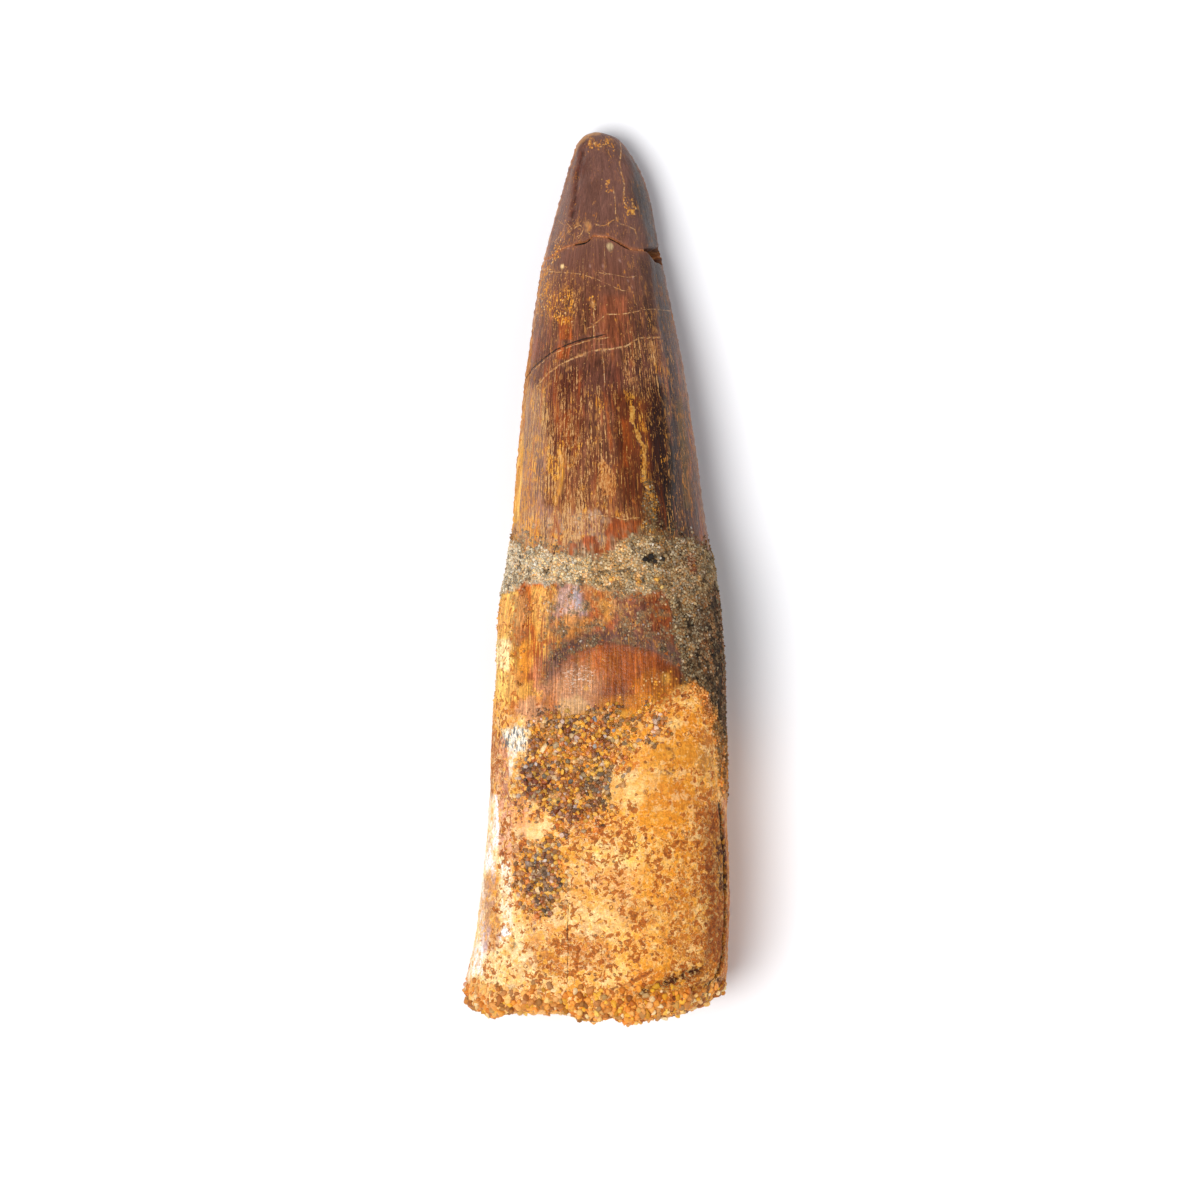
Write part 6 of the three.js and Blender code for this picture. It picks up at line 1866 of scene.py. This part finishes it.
def icosphere():
    import bmesh
    bm = bmesh.new()
    bmesh.ops.create_icosphere(bm, subdivisions=1, radius=1.0)
    bmesh.ops.subdivide_edges(bm, edges=bm.edges[:], cuts=1, use_grid_fill=True)
    v = np.array([p.co[:] for p in bm.verts])
    v /= np.linalg.norm(v, axis=1)[:, None]
    bmesh.ops.triangulate(bm, faces=bm.faces[:])
    bm.verts.index_update()
    f = np.array([[x.index for x in face.verts] for face in bm.faces])
    bm.free()
    return v, f


ICO_V, ICO_F = icosphere()


def scatter(points, normals, weight, count, r_lo, r_hi, seed, spacing=0.8):
    """Centres, normals and radii of grains, no two closer than spacing times
    the sum of their radii."""
    rng = np.random.RandomState(seed)
    w = np.clip(weight, 0, None)
    w = w / w.sum()
    pick = rng.choice(len(points), size=count * 7, p=w)
    jitter = rng.normal(size=(len(pick), 3)) * 0.12
    n = normals[pick]
    jitter -= n * np.sum(jitter * n, axis=1)[:, None]
    c = points[pick] + jitter
    r = r_lo + (r_hi - r_lo) * rng.random_sample(len(pick)) ** 2.2
    order = np.argsort(-r, kind="stable")
    cell = 2 * r_hi
    book, keep = {}, []
    for i in order:
        key = tuple((c[i] // cell).astype(int))
        ok = True
        for dx in (-1, 0, 1):
            for dy in (-1, 0, 1):
                for dz in (-1, 0, 1):
                    for j in book.get((key[0] + dx, key[1] + dy, key[2] + dz), ()):
                        if (c[i] - c[j]) @ (c[i] - c[j]) < (spacing * (r[i] + r[j])) ** 2:
                            ok = False
                            break
                    if not ok:
                        break
                if not ok:
                    break
            if not ok:
                break
        if ok:
            book.setdefault(key, []).append(i)
            keep.append(i)
            if len(keep) >= count:
                break
    keep = np.array(keep)
    return c[keep], n[keep], r[keep], pick[keep], rng


ICO_SMALL_V = None


def small_ball():
    """A ball of 20 triangles."""
    t = (1 + 5 ** 0.5) / 2
    v = np.array([(-1, t, 0), (1, t, 0), (-1, -t, 0), (1, -t, 0), (0, -1, t), (0, 1, t), (0, -1, -t), (0, 1, -t),
                  (t, 0, -1), (t, 0, 1), (-t, 0, -1), (-t, 0, 1)], float)
    v /= np.linalg.norm(v, axis=1)[:, None]
    f = np.array([(0, 11, 5), (0, 5, 1), (0, 1, 7), (0, 7, 10), (0, 10, 11), (1, 5, 9), (5, 11, 4), (11, 10, 2), (10, 7, 6), (7, 1, 8),
                  (3, 9, 4), (3, 4, 2), (3, 2, 6), (3, 6, 8), (3, 8, 9), (4, 9, 5), (2, 4, 11), (6, 2, 10), (8, 6, 7), (9, 8, 1)])
    return v, f


def grains_object(name, points, normals, weight, count, r_lo, r_hi, seed, material, colour, sink=(0.0, 0.5), spacing=0.8, small=False,
                  lumpy=0.3, flat=False, placed=(), cut=0.62):
    c, n, r, pick, rng = scatter(points, normals, weight, count, r_lo, r_hi, seed, spacing)
    ball_v, ball_f = small_ball() if small else (ICO_V, ICO_F)
    tones = colour(rng, pick, len(c))
    for x, y, size, tone in placed:  # single stones set one by one, radius in pixels
        q = on_surface([(x, y)])[0]
        j = int(np.argmin((SV - q[0]) ** 2 + (YV - q[1]) ** 2))
        r_own = size * PX
        gap_ = np.linalg.norm(c - points[j], axis=1) > 0.75 * r_own + 0.6 * r
        c, n, r, tones = c[gap_], n[gap_], r[gap_], tones[gap_]
        c, n = np.vstack([c, points[j] - normals[j] * 0.35 * r_own]), np.vstack([n, normals[j]])
        r, tones = np.append(r, r_own), np.vstack([tones, lin(*tone)])
    k = len(c)
    lift = sink[0] + (sink[1] - sink[0]) * rng.random_sample(k)
    lift[k - len(placed):] = 0.15
    c = c + n * (r * lift)[:, None]
    stretch = 0.68 + 0.58 * rng.random_sample((k, 3))
    turn = rng.normal(size=(k, 4))
    turn /= np.linalg.norm(turn, axis=1)[:, None]
    w, x, y, z = turn.T
    R = np.stack([
        np.stack([1 - 2 * (y * y + z * z), 2 * (x * y - z * w), 2 * (x * z + y * w)], -1),
        np.stack([2 * (x * y + z * w), 1 - 2 * (x * x + z * z), 2 * (y * z - x * w)], -1),
        np.stack([2 * (x * z - y * w), 2 * (y * z + x * w), 1 - 2 * (x * x + y * y)], -1)], 1)
    V = np.broadcast_to(ball_v, (k,) + ball_v.shape).copy()
    bumpy = 1 + lumpy * gnoise((V * 0.9 + rng.random_sample((k, 1, 3)) * 60).reshape(-1, 3), 5).reshape(k, -1)
    for _ in range(4):  # a few flat faces on each grain
        d = rng.normal(size=(k, 3))
        d /= np.linalg.norm(d, axis=1)[:, None]
        over = np.maximum(np.einsum("kvi,ki->kv", V, d) - cut, 0)
        V -= over[..., None] * d[:, None, :]
    V = V * bumpy[..., None] * stretch[:, None, :]
    V = np.einsum("kij,kvj->kvi", R, V) * r[:, None, None] + c[:, None, :]
    V[..., 2] = np.maximum(V[..., 2], 0.0)
    F = ball_f[None] + (np.arange(k) * len(ball_v))[:, None, None]
    me = build_mesh(name, V.reshape(-1, 3), np.zeros((0, 4), int), F.reshape(-1, 3), not flat)
    attach(me, "gcol", np.repeat(np.clip(tones, 0.001, 1), len(ball_v), axis=0), "FLOAT_COLOR")
    ob = bpy.data.objects.new(name, me)
    bpy.context.scene.collection.objects.link(ob)
    me.materials.append(material)
    print(name, k, "grains", len(F.reshape(-1, 3)), "triangles")
    return ob


def toned(under, share, table, spread=0.40, deepen=False):
    """Grain colours: a palette choice by weight, mixed with the stain below it."""
    names = [(lin(*v) if isinstance(v, tuple) else TINT[v]) for v, _ in table]
    weights = np.array([w for _, w in table], float)
    weights /= weights.sum()
    names = np.array(names)

    def colour(rng, pick, k):
        own = names[rng.choice(len(names), size=k, p=weights)]
        out = own + (under[pick] - own) * share
        f = 2.0 ** (spread * rng.normal(size=(k, 1)))
        out = out * (f ** (0.85, 1.15, 1.7) if deepen else f)
        return out * np.minimum(1.0, 0.86 / np.maximum(out.max(1, keepdims=True), 1e-6))

    return colour


mat_collar = grain_material("sand_grains", 0.8, 0.10)
mat_cluster = grain_material("root_grains", 0.30, 0.5)
mat_end = grain_material("end_grains", 0.5, 0.25)

DARK_SPOTS = np.clip((0.10 - COL.max(1)) / 0.05, 0, 1)
W_BAND = (1 - 1.0 * DARK_SPOTS) * BAND * smooth(0.3, 0.7, BAND) * (0.35 + 0.65 * smooth(-0.3, 0.3, rough_sand)) + (1 - 0.9 * DARK_SPOTS) * 0.8 * crust_right * (1 - BAND) + 0.30 * neck_patch * (1 - dome) + 0.20 * sed * (1 - BAND) + 0.5 * COLUMN + 0.06 * WISP_L * (1 - BAND) + 0.30 * WISP * (1 - BAND) * (1 - WINDOWS)
sand_grains = grains_object(
    "sand_grains", WALL_P, WALL_N, W_BAND * CELL, 9600, 0.06, 0.20, 301, mat_collar,
    toned(COL, 0.70, [("sand", 28), ("sand_mid", 16), ("sand_green", 20), ("sand_grey", 12), ("sand_dark", 14), ("sand_light", 13), ("tan", 3), ("black", 8),
                      ("honey", 0.5), ("white", 2)], 0.32), (-0.55, 0.18), 0.60, True, 0.35, False,
    [(612, 582, 2.6, (238, 186, 96)), (617, 584, 1.8, (240, 200, 120)), (655, 583, 2.8, (238, 182, 84)), (661, 590, 2.2, (226, 186, 110)), (638, 585, 2.0, (236, 176, 80)),
     (549, 574, 1.8, (60, 52, 46)), (522, 569, 1.6, (60, 52, 46)), (649, 560, 4.2, (46, 42, 40)), (653, 565, 3.0, (50, 44, 40)), (645, 563, 3.0, (44, 40, 38)), (663, 563, 2.6, (48, 44, 40))])
halo = np.clip(
    inside([(548, 712), (600, 712), (664, 708), (668, 742), (630, 752), (618, 800), (596, 830), (556, 836), (516, 812), (514, 760), (530, 726)], 0.6, 0.8)
    + inside([(522, 836), (560, 834), (574, 870), (566, 912), (530, 916), (512, 880)], 0.5, 0.6), 0, 1)
KEEP_CLEAR = np.clip(inside([(518, 829), (526, 819), (538, 822), (549, 815), (556, 821), (550, 832), (546, 839), (533, 841), (522, 838)], 0.5, 0.3) + inside([(531, 801), (540, 799), (545, 806), (539, 813), (532, 811)], 0.3, 0.2) + ZEBRA + WHITE_STREAK, 0, 1)
W_CLUSTER = np.clip(CLUSTERS + 0.30 * halo * smooth(0.0, 0.25, MOTTLE + 0.3 * MOTTLE2), 0, 1) * (0.22 + 0.78 * smooth(-0.15, 0.25, MOTTLE)) * (1 - KEEP_CLEAR)
root_grains = grains_object(
    "root_grains", WALL_P, WALL_N, W_CLUSTER * CELL, 4600, 0.075, 0.33, 302, mat_cluster,
    toned(COL, 0.36, [((122, 104, 80), 15), ((160, 98, 50), 12), ((230, 160, 52), 18), ((104, 94, 84), 12), ((246, 188, 66), 17), ((132, 64, 30), 12),
                      ((176, 170, 162), 6), ((246, 214, 156), 8), ((62, 52, 46), 11)], 0.60), (-0.35, 0.40), 0.50, True, 0.3, True,
    [(546, 749, 5.6, (250, 214, 158)), (558, 748, 4.4, (176, 146, 104)), (596, 723, 4.0, (132, 134, 142)), (540, 747, 3.0, (160, 120, 100)),
     (569, 762, 3.2, (120, 96, 60)), (533, 768, 3.0, (128, 112, 96)), (546, 778, 3.4, (118, 104, 84)), (588, 768, 3.2, (140, 124, 100)),
     (613, 732, 3.4, (160, 156, 154)), (596, 746, 3.0, (176, 168, 158)), (581, 742, 2.8, (206, 148, 70)), (572, 782, 3.4, (96, 84, 70)), (560, 790, 3.0, (110, 96, 80)), (554, 867, 2.6, (232, 206, 160))])
cap_n = grid_normals(np.concatenate([wall_pts[-2:], cap]))[2:].reshape(-1, 3)
if cap_n[:, 1].mean() > 0:
    cap_n = -cap_n
end_p, end_n = np.vstack([WALL_P, CAP_P]), np.vstack([WALL_N, cap_n])
cap_grid = np.concatenate([wall_pts[-1:], cap])
cap_area = (np.linalg.norm(np.roll(cap, -1, 1) - cap, axis=2) * np.linalg.norm(cap_grid[1:] - cap_grid[:-1], axis=2)).reshape(-1)
cap_rim = bell(CAP_I - 0.1, 0.75)
OFF_GROOVE = 1 - np.clip(bell(d_groove, 0.55) + bell(d_notch, 0.5) + 0.8 * CORNER, 0, 1)
W_END = np.concatenate([OFF_GROOVE * END * (0.12 + 0.88 * smooth(-0.15, 0.2, MOTTLE)) * CELL, (0.03 + 0.97 * np.maximum(0.8 * FILL * smooth(-0.35, 0.1, cn2), cap_rim)) * cap_area])
end_grains = grains_object(
    "end_grains", end_p, end_n, W_END, 2450, 0.10, 0.44, 303, mat_end,
    toned(np.vstack([COL, CAP_COL]), 0.34, [((236, 152, 54), 24), ((246, 198, 112), 17), ((214, 120, 34), 22), ((250, 220, 160), 11), ((158, 80, 28), 20),
                                           ((226, 166, 96), 6), ((112, 60, 32), 16), ((246, 182, 44), 22)], 0.50, True),
    (-0.60, 0.15), 0.55, False, 0.40, cut=0.66)

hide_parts("tooth")
for ob in (tooth, sand_grains, root_grains, end_grains):
    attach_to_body(ob, "root")

# --------------------------------------------------------------------------
# Stage: white surface, one big soft light from the left, camera straight down
# --------------------------------------------------------------------------


def floor():
    me = bpy.data.meshes.new("floor")
    r = 5.0
    me.from_pydata([(-r, -r, 0), (r, -r, 0), (r, r, 0), (-r, r, 0)], [], [(0, 1, 2, 3)])
    ob = bpy.data.objects.new("floor", me)
    ob.location.z = -0.00002
    bpy.context.scene.collection.objects.link(ob)
    g = Graph("floor")
    g.bsdf.inputs["Specular IOR Level"].default_value = 0.2
    me.materials.append(g.finish(lin(246, 246, 248), 0.9))


floor()

from mathutils import Vector


def soft_sun(name, strength, angle, azimuth, elevation):
    """A large soft light: azimuth from +X counter-clockwise, in degrees."""
    sun = bpy.data.lights.new(name, "SUN")
    sun.energy = strength
    sun.angle = math.radians(angle)
    ob = bpy.data.objects.new(name, sun)
    bpy.context.scene.collection.objects.link(ob)
    az, el = math.radians(azimuth), math.radians(elevation)
    towards = Vector((math.cos(el) * math.cos(az), math.cos(el) * math.sin(az), math.sin(el)))
    ob.rotation_euler = towards.to_track_quat("Z", "Y").to_euler()


soft_sun("key", 2.90, 31.0, 203.0, 69.0)  # upper left, a little towards the root
soft_sun("fill", 0.57, 70.0, 10.0, 40.0)  # a white card on the right
SKY_LOW, SKY_HIGH = 1.03, 0.22

world = bpy.data.worlds.new("studio")
bpy.context.scene.world = world
world.use_nodes = True
wt = world.node_tree
wt.nodes.clear()
wo = wt.nodes.new("ShaderNodeOutputWorld")
bg = wt.nodes.new("ShaderNodeBackground")
tc = wt.nodes.new("ShaderNodeTexCoord")
sp = wt.nodes.new("ShaderNodeSeparateXYZ")
mr = wt.nodes.new("ShaderNodeMapRange")
mr.interpolation_type = "SMOOTHSTEP"
for k, v in (("From Min", 0.14), ("From Max", 0.45), ("To Min", SKY_LOW), ("To Max", SKY_HIGH)):
    mr.inputs[k].default_value = v
wt.links.new(tc.outputs["Generated"], sp.inputs[0])
wt.links.new(sp.outputs["Z"], mr.inputs["Value"])
wt.links.new(mr.outputs[0], bg.inputs["Strength"])
bg.inputs["Color"].default_value = (0.95, 0.97, 1.03, 1.0)
wt.links.new(bg.outputs[0], wo.inputs[0])

cam_data = bpy.data.cameras.new("camera")
cam_data.lens = 300.0
cam_data.sensor_width = 36.0
cam_data.clip_start = 0.01
cam_data.clip_end = 50.0
cam = bpy.data.objects.new("camera", cam_data)
frame_width = 1200 * PX * MM
distance = frame_width * cam_data.lens / cam_data.sensor_width
aim = ((np.array([(600 - PX_X0) * PX, (PX_Y0 - 603) * PX, 9.0]) + SHIFT) * MM)
cam.location = (aim[0], aim[1], aim[2] + distance)
cam.rotation_euler = (0.0, 0.0, 0.0)
bpy.context.scene.collection.objects.link(cam)
bpy.context.scene.camera = cam
bpy.context.scene.view_settings.view_transform = "Standard"
